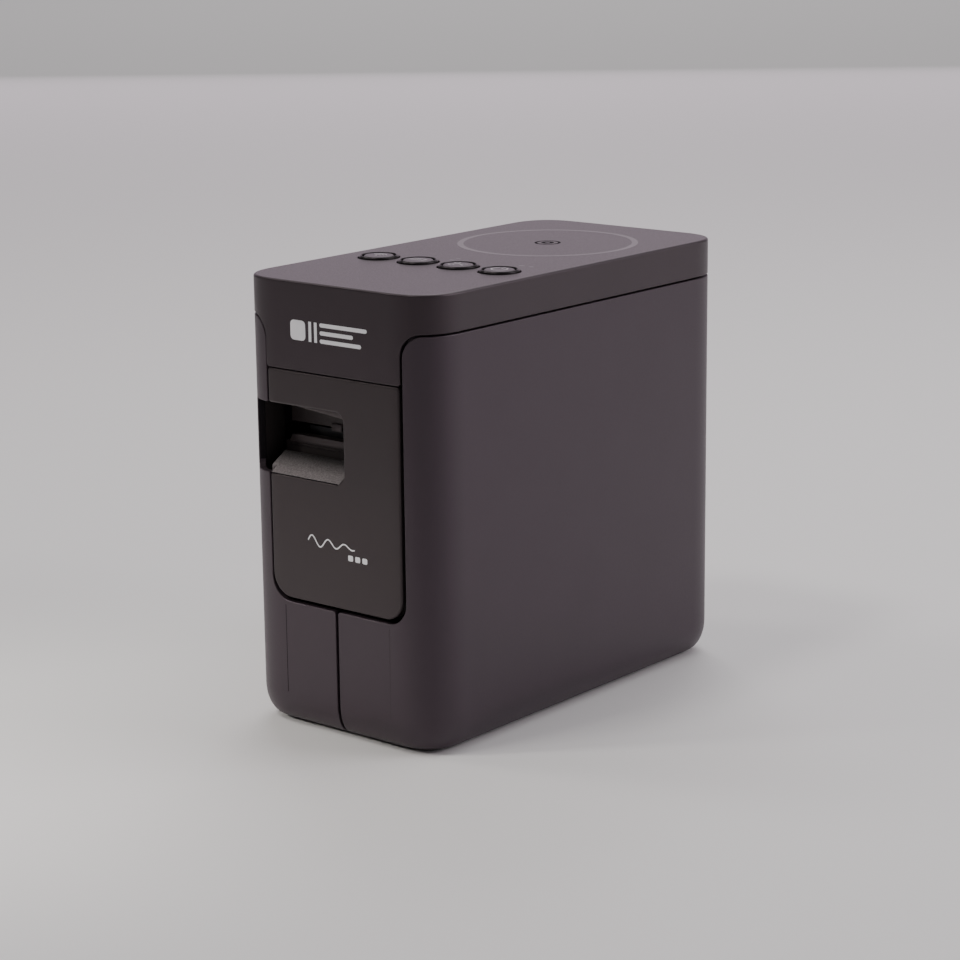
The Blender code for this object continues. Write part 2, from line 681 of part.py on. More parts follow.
def tooth_outline(centre, teeth, module, phase, first=0, last=None):
    """Straight-sided teeth round a centre. The teeth from first to last are cut, and the rest is plain."""
    root = module * teeth / 2 - 1.1 * module
    tip = module * teeth / 2 + 0.8 * module
    pitch = 2 * pi / teeth
    profile = ((-0.29, root), (-0.12, tip), (0.12, tip), (0.29, root))
    outline = []
    for tooth in range(first, teeth if last is None else last):
        for share, radius in profile:
            turn = phase + (tooth + share) * pitch
            outline.append((centre[0] + radius * cos(turn), centre[1] + radius * sin(turn)))
    return outline


def meshed_phase(direction, teeth_a, phase_a, teeth_b):
    """Phase of gear b, which lies in `direction` from gear a, so that teeth meet gaps."""
    offset = (phase_a - direction) * teeth_a / (2 * pi) - 0.5
    return direction + pi - 2 * pi / teeth_b * offset


def pitch_radius(part):
    return MODULE * TEETH[part] / 2


def idler_spot():
    """Centre of the idler: in mesh with both the platen gear and the ribbon gear."""
    to_platen = pitch_radius("platen") + pitch_radius("idler")
    to_ribbon = pitch_radius("ribbon") + pitch_radius("idler")
    across, up = RIBBON[0] - PLATEN[0], RIBBON[1] - PLATEN[1]
    apart = hypot(across, up)
    along = (apart ** 2 + to_platen ** 2 - to_ribbon ** 2) / (2 * apart)
    aside = (to_platen ** 2 - along ** 2) ** 0.5
    return (PLATEN[0] + (across * along - up * aside) / apart,
            PLATEN[1] + (up * along + across * aside) / apart)


def direction(start, end):
    return atan2(end[1] - start[1], end[0] - start[0])


def motor_spot():
    reach = pitch_radius("idler") + pitch_radius("motor")
    centre = idler_spot()
    return centre[0] + reach * cos(radians(-20)), centre[1] + reach * sin(radians(-20))


def gear(name, centre, part, phase, bore):
    """A spur gear with its bore, its origin on its axis."""
    outline = tooth_outline(centre, TEETH[part], MODULE, phase)
    wheel = prism(name, outline, "X", GEAR_X, gear_plastic(), (0, *centre))
    return cut(wheel, rod(tool_name(name, "bore"), "X", centre, bore, (5, 15), gear_plastic(), 12))


def make_gears(holder):
    idler = idler_spot()
    gear("idler_gear", idler, "idler", 0.0, 1.5)
    rod("idler_axle", "X", idler, 0.9, (PLATE_X[0], 13.5), steel(), 12)
    phases = {}
    for part, centre in (("platen", PLATEN), ("ribbon", RIBBON), ("motor", motor_spot())):
        phases[part] = meshed_phase(direction(idler, centre), TEETH["idler"], 0.0, TEETH[part])
    platen = gear("platen_gear", PLATEN, "platen", phases["platen"], 1.6)
    ribbon_outline = tooth_outline(RIBBON, TEETH["ribbon"], MODULE, phases["ribbon"])
    ribbon = prism("ribbon_gear", ribbon_outline, "X", GEAR_X, gear_plastic(), (0, *RIBBON))
    fuse(ribbon, rod("ribbon_gear.spindle", "X", RIBBON, 2.0, (-20, 9), gear_plastic(), 12))
    pinion_outline = tooth_outline(motor_spot(), TEETH["motor"], MODULE, phases["motor"])
    pinion = prism("motor_pinion", pinion_outline, "X", GEAR_X, gear_plastic(), (0, *motor_spot()))
    fuse(pinion, rod("motor_pinion.shaft", "X", motor_spot(), 1.2, (11, 13.2), gear_plastic(), 12))
    roller = rod("platen_roller", "X", PLATEN, PLATEN_R, (-23.4, -0.6), material("platen_rubber",
                 (0.03, 0.03, 0.032), 0.7), 24, (0, *PLATEN))
    cut(roller, rod("platen_roller.bore", "X", PLATEN, 1.6, (-30, 5), steel(), 12))
    shaft = rod("platen_shaft", "X", PLATEN, 1.3, (-25.6, 13.0), steel(), 12, (0, *PLATEN))
    for piece in (platen, roller, shaft):
        attach(piece, holder)


def make_feed_motor():
    name = "feed_motor"
    centre = motor_spot()
    motor = rod(name, "X", centre, 11.0, (15.0, 32.0), steel(), 28)
    return fuse(motor, rod(tool_name(name, "nose"), "X", centre, 3.0, (13.6, 15.5), steel(), 16))


# ---------------------------------------------------------------- print head and roller holder

def make_print_head():
    alloy = material("alloy", (0.75, 0.76, 0.78), 0.35, 1.0)
    prism("head_heatsink", [(-44, 73), (-42.2, 73), (-42.2, 86), (-30, 86), (-30, 87.8), (-44, 87.8)], "X",
          (-25.4, 4.2), alloy)
    prism("print_head", [(-41, 88.1), (-31, 88.1), (-31, 91.5), (-35, TAPE_Z - 0.4), (-37, TAPE_Z - 0.4),
                         (-41, 91.5)], "X", (-24.6, 0.6), material("ceramic", (0.8, 0.78, 0.72), 0.3))


def arm_outline(start, end, half, steps=5):
    """A bar with round ends, from start to end."""
    heading = direction(start, end)
    outline = []
    for centre, facing in ((end, heading), (start, heading + pi)):
        turns = [facing - pi / 2 + pi * step / steps for step in range(steps + 1)]
        outline += [(centre[0] + half * cos(turn), centre[1] + half * sin(turn)) for turn in turns]
    return outline


def make_roller_holder(pivot):
    """Two arms and a cross bar that carry the platen roller, and lift it when the door opens."""
    name = "roller_holder"
    arms = arm_outline(HOLDER_PIVOT, PLATEN, 2.5)
    holder = prism(name, arms, "X", (-25.4, -24.0), inner_plastic(), (0, *HOLDER_PIVOT))
    fuse(holder, prism(tool_name(name, "right_arm"), arms, "X", (0.2, 1.8), inner_plastic()))
    bar = [(-24.5, 104.6), (-20.0, 106.6), (-20.0, 108.4), (-25.5, 106.0)]
    fuse(holder, prism(tool_name(name, "cross_bar"), bar, "X", (-25.0, 1.4), inner_plastic()))
    for part, centre, radius in (("axle_bore", HOLDER_PIVOT, 1.5), ("roller_bore", PLATEN, 1.6)):
        cut(holder, rod(tool_name(name, part), "X", centre, radius, (-30, 5), inner_plastic(), 12))
    attach(holder, pivot)
    rod("holder_axle", "X", HOLDER_PIVOT, 1.2, (-26.5, 4.2), steel(), 12)
    return holder


def make_holder_spring():
    """Torsion spring round the holder's axle, as a helix of wire."""
    wire, mean, turns, per_turn = 0.35, 2.2, 5, 12
    centre_line = []
    for step in range(turns * per_turn + 1):
        turn = 2 * pi * step / per_turn
        centre_line.append((-14 + 1.1 * step / per_turn, HOLDER_PIVOT[0] + mean * cos(turn),
                            HOLDER_PIVOT[1] + mean * sin(turn)))
    curve = bpy.data.curves.new("holder_spring", "CURVE")
    curve.dimensions = "3D"
    curve.bevel_depth = wire * MM
    curve.bevel_resolution = 1
    curve.use_fill_caps = True
    line = curve.splines.new("POLY")
    line.points.add(len(centre_line) - 1)
    for knot, point in zip(line.points, centre_line):
        knot.co = (*[value * MM for value in point], 1)
    curve.materials.append(steel())
    spring = bpy.data.objects.new("holder_spring", curve)
    bpy.context.scene.collection.objects.link(spring)
    return spring


# ---------------------------------------------------------------- cutter

def turned_about(outline, pivot, degrees):
    """An (x, z) outline turned about a pivot, counterclockwise from +x towards +z."""
    turn = radians(degrees)
    moved = []
    for x, z in outline:
        across, up = x - pivot[0], z - pivot[1]
        moved.append((pivot[0] + across * cos(turn) - up * sin(turn),
                      pivot[1] + across * sin(turn) + up * cos(turn)))
    return moved


def cutter_pinion_spot():
    reach = CUT_MODULE * (CUT_SECTOR_TEETH + CUT_PINION_TEETH) / 2
    return CUT_PIVOT[0] + reach, CUT_PIVOT[1]


def make_moving_blade(pivot):
    """Blade and toothed sector in one piece, drawn closed and turned to its open rest position."""
    name = "moving_blade"
    x, z = CUT_PIVOT
    sector = tooth_outline(CUT_PIVOT, CUT_SECTOR_TEETH, CUT_MODULE, 0.0, -1, 4)
    closed = [(x - 37, z - 3), (x - 6, z - 3), (x - 3, z - 5.5), (x + 2, z - 6.5), *sector, (x - 1, z + 7),
              (x - 6, z + 3.5), (x - 35, z + 3)]
    outline = turned_about(closed, CUT_PIVOT, -CUT_OPEN)
    blade = prism(name, outline, "Y", BLADE_Y, steel(), (x, BLADE_Y[0], z))
    cut(blade, rod(tool_name(name, "bore"), "Y", CUT_PIVOT, 1.8, (-62, -50), steel(), 14))
    attach(blade, pivot)
    return blade


def make_cutter():
    x, z = CUT_PIVOT
    box("fixed_blade", (-27, FIXED_BLADE_Y[0], 80), (16, FIXED_BLADE_Y[1], TAPE_Z - 0.5), steel())
    frame = prism("cutter_frame", rectangle((6.8, 33.0), (80.0, 108.0)), "Y", (-55.9, -54.4), steel())
    cut(frame, rod("cutter_frame.motor_hole", "Y", cutter_pinion_spot(), 2.4, (-58, -50), steel(), 16),
        rod("cutter_frame.pivot_hole", "Y", CUT_PIVOT, 1.6, (-58, -50), steel(), 12))
    cut(bpy.data.objects["fixed_blade"], rod("fixed_blade.pivot_hole", "Y", CUT_PIVOT, 1.8, (-60, -50),
                                             steel(), 12))
    turned("cutter_pivot", [(2.6, -59.8), (2.6, -58.8), (1.3, -58.8), (1.3, -53.6)], "Y", CUT_PIVOT, steel(),
           12)
    centre = cutter_pinion_spot()
    motor = rod("cutter_motor", "Y", centre, 7.4, (-53.8, -32.0), steel(), 24)
    fuse(motor, rod("cutter_motor.nose", "Y", centre, 2.0, (-55.2, -53.5), steel(), 14))
    phase = meshed_phase(0.0, CUT_SECTOR_TEETH, -radians(CUT_OPEN), CUT_PINION_TEETH)
    outline = tooth_outline(centre, CUT_PINION_TEETH, CUT_MODULE, phase)
    pinion = prism("cutter_pinion", outline, "Y", (-59.6, -56.9), gear_plastic(),
                   (centre[0], -58.0, centre[1]))
    fuse(pinion, rod("cutter_pinion.hub", "Y", centre, 1.4, (-57.5, -55.6), gear_plastic(), 12))


def make_cassette_sensor():
    """Switch block under the cassette, with the studs that feel which tape is fitted."""
    name = "cassette_sensor"
    block = box(name, (-2.0, -6, 33), (4.2, 18, 41.4), inner_plastic())
    for spot in range(5):
        fuse(block, rod(tool_name(name, f"stud_{spot + 1}"), "Z", (1.0, -3 + 4.5 * spot), 1.1, (41, 43.6),
                        inner_plastic(), 10))
    return block


# ---------------------------------------------------------------- moving frames

def joint_empty(name, spot):
    empty = bpy.data.objects.new(name, None)
    empty.location = [value * MM for value in spot]
    bpy.context.scene.collection.objects.link(empty)
    return empty


def attach(piece, empty):
    """Parents a piece to its joint's empty and leaves it where it is."""
    piece.parent = empty
    piece.location = [here - there for here, there in zip(piece.location, empty.location)]


def clear_scene():
    for old in list(bpy.data.objects):
        bpy.data.objects.remove(old, do_unlink=True)


def main():
    clear_scene()
    door_hinge = joint_empty("door_hinge", (0, HINGE_Y, 0))
    battery_hinge = joint_empty("battery_hinge", (21, BATTERY_DOOR_Y[0] + GAP, FOOT_HEIGHT))
    holder_pivot = joint_empty("holder_pivot", (0, *HOLDER_PIVOT))
    blade_pivot = joint_empty("blade_pivot", (CUT_PIVOT[0], BLADE_Y[0], CUT_PIVOT[1]))
    make_right_shell()
    make_left_shell(door_hinge)
    make_top_cover()
    make_front_panel()
    make_battery_cover(battery_hinge)
    make_exit_chute()
    make_feet()
    make_hinge_pins()
    make_keys()
    make_key_board()
    make_antenna()
    make_main_board()
    make_wireless_module()
    make_key_cable()
    make_sockets()
    make_battery_bay()
    make_chassis()
    make_chassis_screws()
    make_cassette()
    make_spools()
    make_roller_holder(holder_pivot)
    make_holder_spring()
    make_gears(holder_pivot)
    make_feed_motor()
    make_print_head()
    make_moving_blade(blade_pivot)
    make_cutter()
    make_cassette_sensor()


main()
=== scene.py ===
"""Looks of the desktop label maker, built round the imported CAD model.
Lengths are millimetres in the CAD's frame, and finish_mesh() turns them into metres."""

from math import acos, atan2, cos, hypot, pi, radians, sin

import bmesh
import bpy
import numpy as np
from mathutils import Matrix, Vector
from mathutils.geometry import delaunay_2d_cdt


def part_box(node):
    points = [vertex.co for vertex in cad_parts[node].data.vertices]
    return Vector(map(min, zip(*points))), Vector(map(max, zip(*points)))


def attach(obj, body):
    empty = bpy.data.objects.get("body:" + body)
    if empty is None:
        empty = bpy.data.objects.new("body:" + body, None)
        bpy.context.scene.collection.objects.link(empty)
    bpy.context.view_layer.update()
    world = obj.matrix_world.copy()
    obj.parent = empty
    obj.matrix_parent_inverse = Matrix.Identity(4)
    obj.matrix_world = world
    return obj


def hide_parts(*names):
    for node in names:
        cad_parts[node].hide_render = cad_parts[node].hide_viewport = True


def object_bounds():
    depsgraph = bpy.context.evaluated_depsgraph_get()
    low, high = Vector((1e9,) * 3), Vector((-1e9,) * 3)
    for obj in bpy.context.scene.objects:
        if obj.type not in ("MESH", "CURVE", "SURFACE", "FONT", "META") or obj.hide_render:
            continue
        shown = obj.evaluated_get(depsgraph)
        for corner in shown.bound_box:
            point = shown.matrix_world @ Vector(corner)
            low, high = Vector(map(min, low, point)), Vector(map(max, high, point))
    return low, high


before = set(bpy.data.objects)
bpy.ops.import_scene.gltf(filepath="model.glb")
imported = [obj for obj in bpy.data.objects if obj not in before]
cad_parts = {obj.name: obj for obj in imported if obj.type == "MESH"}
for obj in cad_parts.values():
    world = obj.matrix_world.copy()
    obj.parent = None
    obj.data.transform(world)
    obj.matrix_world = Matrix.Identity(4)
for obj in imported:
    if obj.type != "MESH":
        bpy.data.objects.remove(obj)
CAD_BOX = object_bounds()

MM = 0.001


def node_box(node):
    """A CAD node's lowest and highest corners, in millimetres."""
    return [[value / MM for value in corner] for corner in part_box(node)]


LEFT_X, FRONT_Y, _ = [value / MM for value in CAD_BOX[0]]
RIGHT_X, BACK_Y, TOP_Z = node_box("top_cover")[1]
KEY_TOP = CAD_BOX[1][2] / MM

# Case form, as in the CAD. The mouldings stop PROUD short of it, which leaves room for the printed marks.
PROUD = 0.02
WALL = 2.2
CORNER = 17.0
CORNER_POWER = 2.7
BASE_Z = node_box("right_shell")[0][2]
BASE_RISE = 10.0
BASE_INSET = 5.0
BASE_TOP = BASE_Z + BASE_RISE
BASE_ARC = 12.1
TOP_ROUND = 0.8
TOP_FACE = TOP_Z - PROUD
TOP_SPRING = TOP_FACE - TOP_ROUND
STRAIGHT_X = RIGHT_X - CORNER
STRAIGHT_Y = BACK_Y - CORNER
RIM = 0.3  # rounding of the mouldings' outer edges
INNER_RIM = 0.25
SHELL_TOP = node_box("right_shell")[1][2]
BAND_Z = SHELL_TOP + 0.6
APRON_Z = node_box("top_cover")[0][2]
APRON_LEFT = -27.1
APRON_RIGHT = 27.5
APRON_FILLET = 7.0
PANEL_LEFT, _, PANEL_BOTTOM = node_box("front_panel")[0]
PANEL_RIGHT, _, PANEL_TOP = node_box("front_panel")[1]
PANEL_CORNER = 8.0
PANEL_GAP = 1.2
GAP = 0.3
SPLIT = 0.5
NOTCH_X = -35.0  # how far round the door's corner the label exit reaches
EXIT_RIGHT = 4.2
EXIT_LOW = 81.7
EXIT_HIGH = 104.0
EXIT_CHAMFER = 2.6
DOOR_BACK_X = -3.8
SHELL_BACK_X = 5.4
SHELL_STEP_Y = 49.0
DOOR_FLOOR = (-30.0, 67.0)
BATTERY_OPENING = ((7.4, 8.0), (33.6, 58.8))
JACK = (14.0, 19.5)
JACK_HOLE_R = 4.2
PORT_X = (20.1, 28.9)
PORT_Z = (12.5, 17.6)
KEYS = ("wireless", "mode", "feed_cut", "power")
KEY_Y = -25.3
KEY_PITCH = 16.55
KEY_R = 6.35
KEY_HOLE_R = 6.85
RING_Y = 30.5
RING_R = 28.8
SHADE_LINE_X = 21.6
TAPE_AXIS = (5.0, 72.3)
RIBBON_AXIS = (-34.0, 57.0)
HINGE_Y = 72.5
KNUCKLE_R = 3.0
PIN_R = 1.5
SCREW_SPOTS = {"front_low": (-59, 12), "front_high": (-59, 120), "rear_low": (61, 72), "rear_high": (61, 120)}


# ---------------------------------------------------------------- materials

def new_material(name, colour, roughness, metallic=0.0):
    made = bpy.data.materials.new(name)
    made.use_nodes = True
    shader = made.node_tree.nodes["Principled BSDF"]
    shader.inputs["Base Color"].default_value = (*colour, 1.0)
    shader.inputs["Roughness"].default_value = roughness
    shader.inputs["Metallic"].default_value = metallic
    return made, made.node_tree, shader


def own_place(tree, socket):
    """Feeds a node with the object's own coordinates."""
    place = tree.nodes.new("ShaderNodeTexCoord")
    tree.links.new(place.outputs["Object"], socket)


def noise(tree, scale, detail=2.0, rough=0.5):
    """Noise in the object's own coordinates, `scale` cells to a metre."""
    made = tree.nodes.new("ShaderNodeTexNoise")
    made.inputs["Scale"].default_value = scale
    made.inputs["Detail"].default_value = detail
    made.inputs["Roughness"].default_value = rough
    own_place(tree, made.inputs["Vector"])
    return made.outputs["Fac"]


def spread(tree, source, low, high, start=0.3, end=0.7):
    """Maps a noise value onto a range of values."""
    made = tree.nodes.new("ShaderNodeMapRange")
    made.inputs["From Min"].default_value = start
    made.inputs["From Max"].default_value = end
    made.inputs["To Min"].default_value = low
    made.inputs["To Max"].default_value = high
    tree.links.new(source, made.inputs["Value"])
    return made.outputs["Result"]


def tint(tree, source, dark, light):
    """A colour between two, following a noise value."""
    ramp = tree.nodes.new("ShaderNodeValToRGB")
    ramp.color_ramp.elements[0].position = 0.3
    ramp.color_ramp.elements[1].position = 0.7
    ramp.color_ramp.elements[0].color = (*dark, 1.0)
    ramp.color_ramp.elements[1].color = (*light, 1.0)
    tree.links.new(source, ramp.inputs["Fac"])
    return ramp.outputs["Color"]


def bump(tree, shader, source, strength, distance):
    made = tree.nodes.new("ShaderNodeBump")
    made.inputs["Strength"].default_value = strength
    made.inputs["Distance"].default_value = distance
    tree.links.new(source, made.inputs["Height"])
    tree.links.new(made.outputs["Normal"], shader.inputs["Normal"])


def moulded(name, colour, roughness, grain=2600.0, depth=0.00003, vary=0.12, sheen=(1.0, 1.0, 1.0)):
    """Moulded plastic: spark-eroded grain, a little unevenness in gloss and tone."""
    made, tree, shader = new_material(name, colour, roughness)
    broad = noise(tree, 45.0, 3.0)
    shade = [tuple(value * factor for value in colour) for factor in (1 - vary, 1 + vary)]
    tree.links.new(tint(tree, broad, *shade), shader.inputs["Base Color"])
    fine = noise(tree, grain, 3.0, 0.6)
    tree.links.new(spread(tree, fine, roughness - 0.05, roughness + 0.07), shader.inputs["Roughness"])
    bump(tree, shader, fine, 0.5, depth)
    shader.inputs["Specular Tint"].default_value = (*sheen, 1.0)
    return made


def metal(name, colour, roughness, streak=900.0):
    """Rolled or drawn metal with fine streaks along X."""
    made, tree, shader = new_material(name, colour, roughness, 1.0)
    stretch = tree.nodes.new("ShaderNodeMapping")
    stretch.inputs["Scale"].default_value = (0.05, 1.0, 1.0)
    brushed = tree.nodes.new("ShaderNodeTexNoise")
    brushed.inputs["Scale"].default_value = streak
    own_place(tree, stretch.inputs["Vector"])
    tree.links.new(stretch.outputs["Vector"], brushed.inputs["Vector"])
    source = brushed.outputs["Fac"]
    tree.links.new(spread(tree, source, roughness - 0.08, roughness + 0.12), shader.inputs["Roughness"])
    dull = tuple(value * 0.8 for value in colour)
    tree.links.new(tint(tree, noise(tree, 60.0), dull, colour), shader.inputs["Base Color"])
    bump(tree, shader, source, 0.25, 0.00002)
    return made


def grained(name, colour, span):
    """Coarsely textured plastic with painted shade: its tone falls away along Y to near-black, from the first
    value of span to the second.
    """
    made, tree, shader = new_material(name, colour, 0.5)
    parts = tree.nodes.new("ShaderNodeSeparateXYZ")
    own_place(tree, parts.inputs["Vector"])
    # painted shade: the tone falls to near-black towards the back of the exit
    shade_fall = spread(tree, parts.outputs["Y"], 1.0, 0.08, *span)
    speck = noise(tree, 1500.0, 2.0, 0.7)
    mix = tree.nodes.new("ShaderNodeMix")
    mix.data_type = "RGBA"
    mix.inputs["A"].default_value = (0.012, 0.010, 0.010, 1.0)
    dull = tuple(value * 0.45 for value in colour)
    tree.links.new(tint(tree, speck, dull, colour), mix.inputs["B"])
    tree.links.new(shade_fall, mix.inputs["Factor"])
    tree.links.new(mix.outputs["Result"], shader.inputs["Base Color"])
    bump(tree, shader, speck, 0.8, 0.0004)
    return made


def circuit(name):
    """Solder mask over copper: lines of track under green, with a roughness that varies in specks."""
    made, tree, shader = new_material(name, (0.01, 0.09, 0.04), 0.35)
    tracks = tree.nodes.new("ShaderNodeTexBrick")
    tracks.inputs["Scale"].default_value = 420.0
    tracks.inputs["Mortar Size"].default_value = 0.06
    tracks.inputs["Color1"].default_value = (0.008, 0.075, 0.032, 1)
    tracks.inputs["Color2"].default_value = (0.010, 0.095, 0.042, 1)
    tracks.inputs["Mortar"].default_value = (0.03, 0.17, 0.08, 1)
    own_place(tree, tracks.inputs["Vector"])
    tree.links.new(tracks.outputs["Color"], shader.inputs["Base Color"])
    tree.links.new(spread(tree, noise(tree, 700.0), 0.28, 0.45), shader.inputs["Roughness"])
    bump(tree, shader, tracks.outputs["Fac"], 0.3, 0.00003)
    return made


def wound(name, colour, roughness, pitch):
    """Tape or film wound on a spool: fine rings round its axle, seen on the ends."""
    made, tree, shader = new_material(name, colour, roughness)
    rings = tree.nodes.new("ShaderNodeTexWave")
    rings.wave_type = "RINGS"
    rings.rings_direction = "X"
    rings.inputs["Scale"].default_value = pitch
    rings.inputs["Distortion"].default_value = 1.2
    own_place(tree, rings.inputs["Vector"])
    dull = tuple(value * 0.8 for value in colour)
    tree.links.new(tint(tree, rings.outputs["Fac"], dull, colour), shader.inputs["Base Color"])
    bump(tree, shader, rings.outputs["Fac"], 0.2, 0.00004)
    return made


CASE = moulded("satin_case", (0.036, 0.0275, 0.0330), 0.40, vary=0.04, sheen=(1.0, 0.84, 0.96))
COVER = moulded("satin_cover", (0.030, 0.024, 0.0265), 0.38, vary=0.04, sheen=(0.86, 0.71, 0.79))
PANEL = moulded("satin_panel", (0.029, 0.0238, 0.0248), 0.40, vary=0.04, sheen=(0.84, 0.72, 0.75))
INNER_BLACK = moulded("inner_case_face", (0.026, 0.022, 0.024), 0.5, 1800.0, 0.00004, sheen=(1.0, 0.86, 0.95))
KEY_BLACK = moulded("key_black", (0.03, 0.024, 0.028), 0.40, 3200.0, sheen=(1.0, 0.84, 0.98))
KEY_RING = moulded("key_ring_black", (0.010, 0.009, 0.009), 0.34, 3200.0, sheen=(0.5, 0.44, 0.48))
INNER = moulded("inner_moulding", (0.05, 0.045, 0.045), 0.5, 1500.0, 0.00006)
DARK_INNER = moulded("dark_moulding", (0.035, 0.029, 0.029), 0.55, 1500.0)
WHITE_PRINT = moulded("white_print", (0.92, 0.93, 0.95), 0.5, 4000.0, 0.000005, 0.02)
PRINT = moulded("pale_print", (0.42, 0.40, 0.42), 0.5, 4000.0, 0.000005, 0.05)
FAINT_PRINT = moulded("grey_print", (0.14, 0.12, 0.132), 0.40, 3000.0, 0.00001, 0.05)
# Near-black for the printed sign on the top, and also painted shade under the exit's lip, on the door's notch
# wall and on the left line of the lower front.
DARK_PRINT_AND_SHADE = moulded("dark_print_and_painted_shade", (0.012, 0.010, 0.012), 0.8, 3000.0, 0.00001, 0.05)
DARK_PRINT_AND_SHADE.node_tree.nodes["Principled BSDF"].inputs["IOR"].default_value = 1.15
PALE_GREY = moulded("pale_grey_print", (0.2, 0.19, 0.2), 0.45, 3000.0, 0.00001, 0.05)
# The exit ramp: real grain, with painted shade that darkens it towards the back of the exit.
RAMP = grained("grained_ramp_painted_shade", (0.26, 0.232, 0.234), (-0.0741, -0.0687))
BAR = moulded("guide_bar", (0.044, 0.036, 0.036), 0.45, 1800.0, sheen=(1.0, 0.88, 0.92))
# Painted shade: a dark colour for the bar's foot and the plate behind the slot, standing in for the shade
# deep inside the label exit.
SHADE = moulded("painted_recess_shade", (0.036, 0.027, 0.027), 0.6, 1800.0)
STEEL = metal("drawn_steel", (0.62, 0.62, 0.63), 0.3)
DARK_STEEL = metal("blued_steel", (0.10, 0.10, 0.105), 0.42)
ALLOY = metal("cast_alloy", (0.6, 0.61, 0.63), 0.42, 300.0)
BRASS = metal("contact_brass_sheet", (0.72, 0.5, 0.2), 0.28)
RUBBER = moulded("soft_rubber", (0.018, 0.018, 0.018), 0.75, 1200.0, 0.00008)
PLATEN = moulded("ground_rubber", (0.03, 0.03, 0.032), 0.65, 2600.0, 0.00005)
GEAR = moulded("gear_nylon", (0.72, 0.70, 0.64), 0.42, 1600.0, 0.00003, 0.05)
FILM = moulded("cable_polyester", (0.7, 0.7, 0.66), 0.3, 800.0, 0.00001, 0.06)
PACK = moulded("pack_sleeve", (0.09, 0.09, 0.10), 0.35, 600.0, 0.00002)
CASSETTE = moulded("cassette_shell", (0.13, 0.135, 0.14), 0.34, 1800.0, 0.00003, 0.05)
PAPER_LABEL = moulded("label_paper", (0.72, 0.71, 0.68), 0.6, 1200.0, 0.00001, 0.03)
STRIPE = moulded("label_stripe", (0.08, 0.22, 0.30), 0.5, 1200.0, 0.00001, 0.05)
PAPER = wound("label_roll", (0.82, 0.81, 0.77), 0.6, 900.0)
RIBBON_FILM = wound("ribbon_roll", (0.02, 0.02, 0.022), 0.3, 1300.0)
CERAMIC = moulded("glazed_ceramic", (0.78, 0.76, 0.70), 0.2, 900.0, 0.00001, 0.04)
BOARD = circuit("board_mask")

CLEAR, _, CLEAR_SHADER = new_material("clear_window", (0.9, 0.93, 0.93), 0.08)
CLEAR_SHADER.inputs["Transmission Weight"].default_value = 1.0

SLOT_SURFACES = {
    "case_plastic": CASE, "key_plastic": KEY_BLACK, "inner_plastic": INNER, "steel": STEEL,
    "gear_plastic": GEAR, "circuit_board": BOARD, "foot_rubber": RUBBER, "platen_rubber": PLATEN,
    "cable_film": FILM, "pack_grey": PACK,
    "contact_brass": BRASS, "cassette_plastic": CASSETTE, "label_stock": PAPER, "ink_ribbon": RIBBON_FILM,
    "alloy": ALLOY, "ceramic": CERAMIC,
}
NODE_SURFACES = {"moving_blade": DARK_STEEL, "fixed_blade": DARK_STEEL, "cutter_frame": DARK_STEEL}
SOFT_NODES = {
    "chassis": 0.3, "cassette_case": 0.5, "cassette_lid": 0.4, "cassette_sensor": 0.2, "roller_holder": 0.25,
    "head_heatsink": 0.2, "print_head": 0.2, "battery_box": 0.3, "battery_pack": 1.2, "main_board": 0.12,
    "io_board": 0.12, "key_board": 0.12, "wireless_module": 0.25, "dc_jack": 0.25, "usb_port": 0.12,
    "cutter_frame": 0.2, "moving_blade": 0.15, "feed_motor": 0.6, "cutter_motor": 0.4,
    "battery_contacts": 0.1,
}


# ---------------------------------------------------------------- meshes

def finish_mesh(shaper, name, surface, body, smooth=True, angle=35):
    """An object from a bmesh in millimetres, riding on a CAD body."""
    bmesh.ops.scale(shaper, vec=(MM, MM, MM), verts=shaper.verts)
    mesh = bpy.data.meshes.new(name)
    shaper.to_mesh(mesh)
    shaper.free()
    mesh.materials.append(surface)
    if smooth:
        mesh.shade_smooth()
        mesh.set_sharp_from_angle(angle=radians(angle))
    made = bpy.data.objects.new(name, mesh)
    bpy.context.scene.collection.objects.link(made)
    if body:
        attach(made, body)
    return made


def corner_tables(steps=6000):
    """Length along a plan corner, against the turn that its superellipse is drawn with."""
    turns = np.linspace(0, pi / 2, steps)
    across = CORNER * np.sin(turns) ** (2 / CORNER_POWER)
    along = CORNER * np.maximum(np.cos(turns), 0) ** (2 / CORNER_POWER)
    return turns, np.concatenate([[0], np.cumsum(np.hypot(np.diff(across), np.diff(along)))]), across


CORNER_TURNS, CORNER_LENGTHS, CORNER_ACROSS = corner_tables()
CORNER_RUN = CORNER_LENGTHS[-1]
HALF_ROUND = 2 * STRAIGHT_X + 2 * CORNER_RUN + 2 * STRAIGHT_Y
BASE_V = BASE_TOP - BASE_ARC
TOP_V = TOP_SPRING + TOP_ROUND * pi / 2


def plan_frame(u):
    """Start, reach and normal of the plan outline, u round from the middle of the front."""
    side = 1 if u >= 0 else -1
    run = abs(u)
    rear = run > HALF_ROUND / 2
    if rear:
        run = HALF_ROUND - run
    if run <= STRAIGHT_X:
        start, reach, normal = (run, -STRAIGHT_Y), (0, -1), (0, -1)
    elif run < STRAIGHT_X + CORNER_RUN:
        turn = float(np.interp(run - STRAIGHT_X, CORNER_LENGTHS, CORNER_TURNS))
        start = (STRAIGHT_X, -STRAIGHT_Y)
        reach = (sin(turn) ** (2 / CORNER_POWER), -cos(turn) ** (2 / CORNER_POWER))
        normal = [abs(value) ** (CORNER_POWER - 1) * (1 if value > 0 else -1) for value in reach]
        size = hypot(*normal)
        normal = (normal[0] / size, normal[1] / size)
    else:
        start, reach, normal = (STRAIGHT_X, run - STRAIGHT_X - CORNER_RUN - STRAIGHT_Y), (1, 0), (1, 0)
    flip = np.array((side, -1 if rear else 1))
    return np.array(start) * flip, np.array(reach) * flip, np.array(normal) * flip


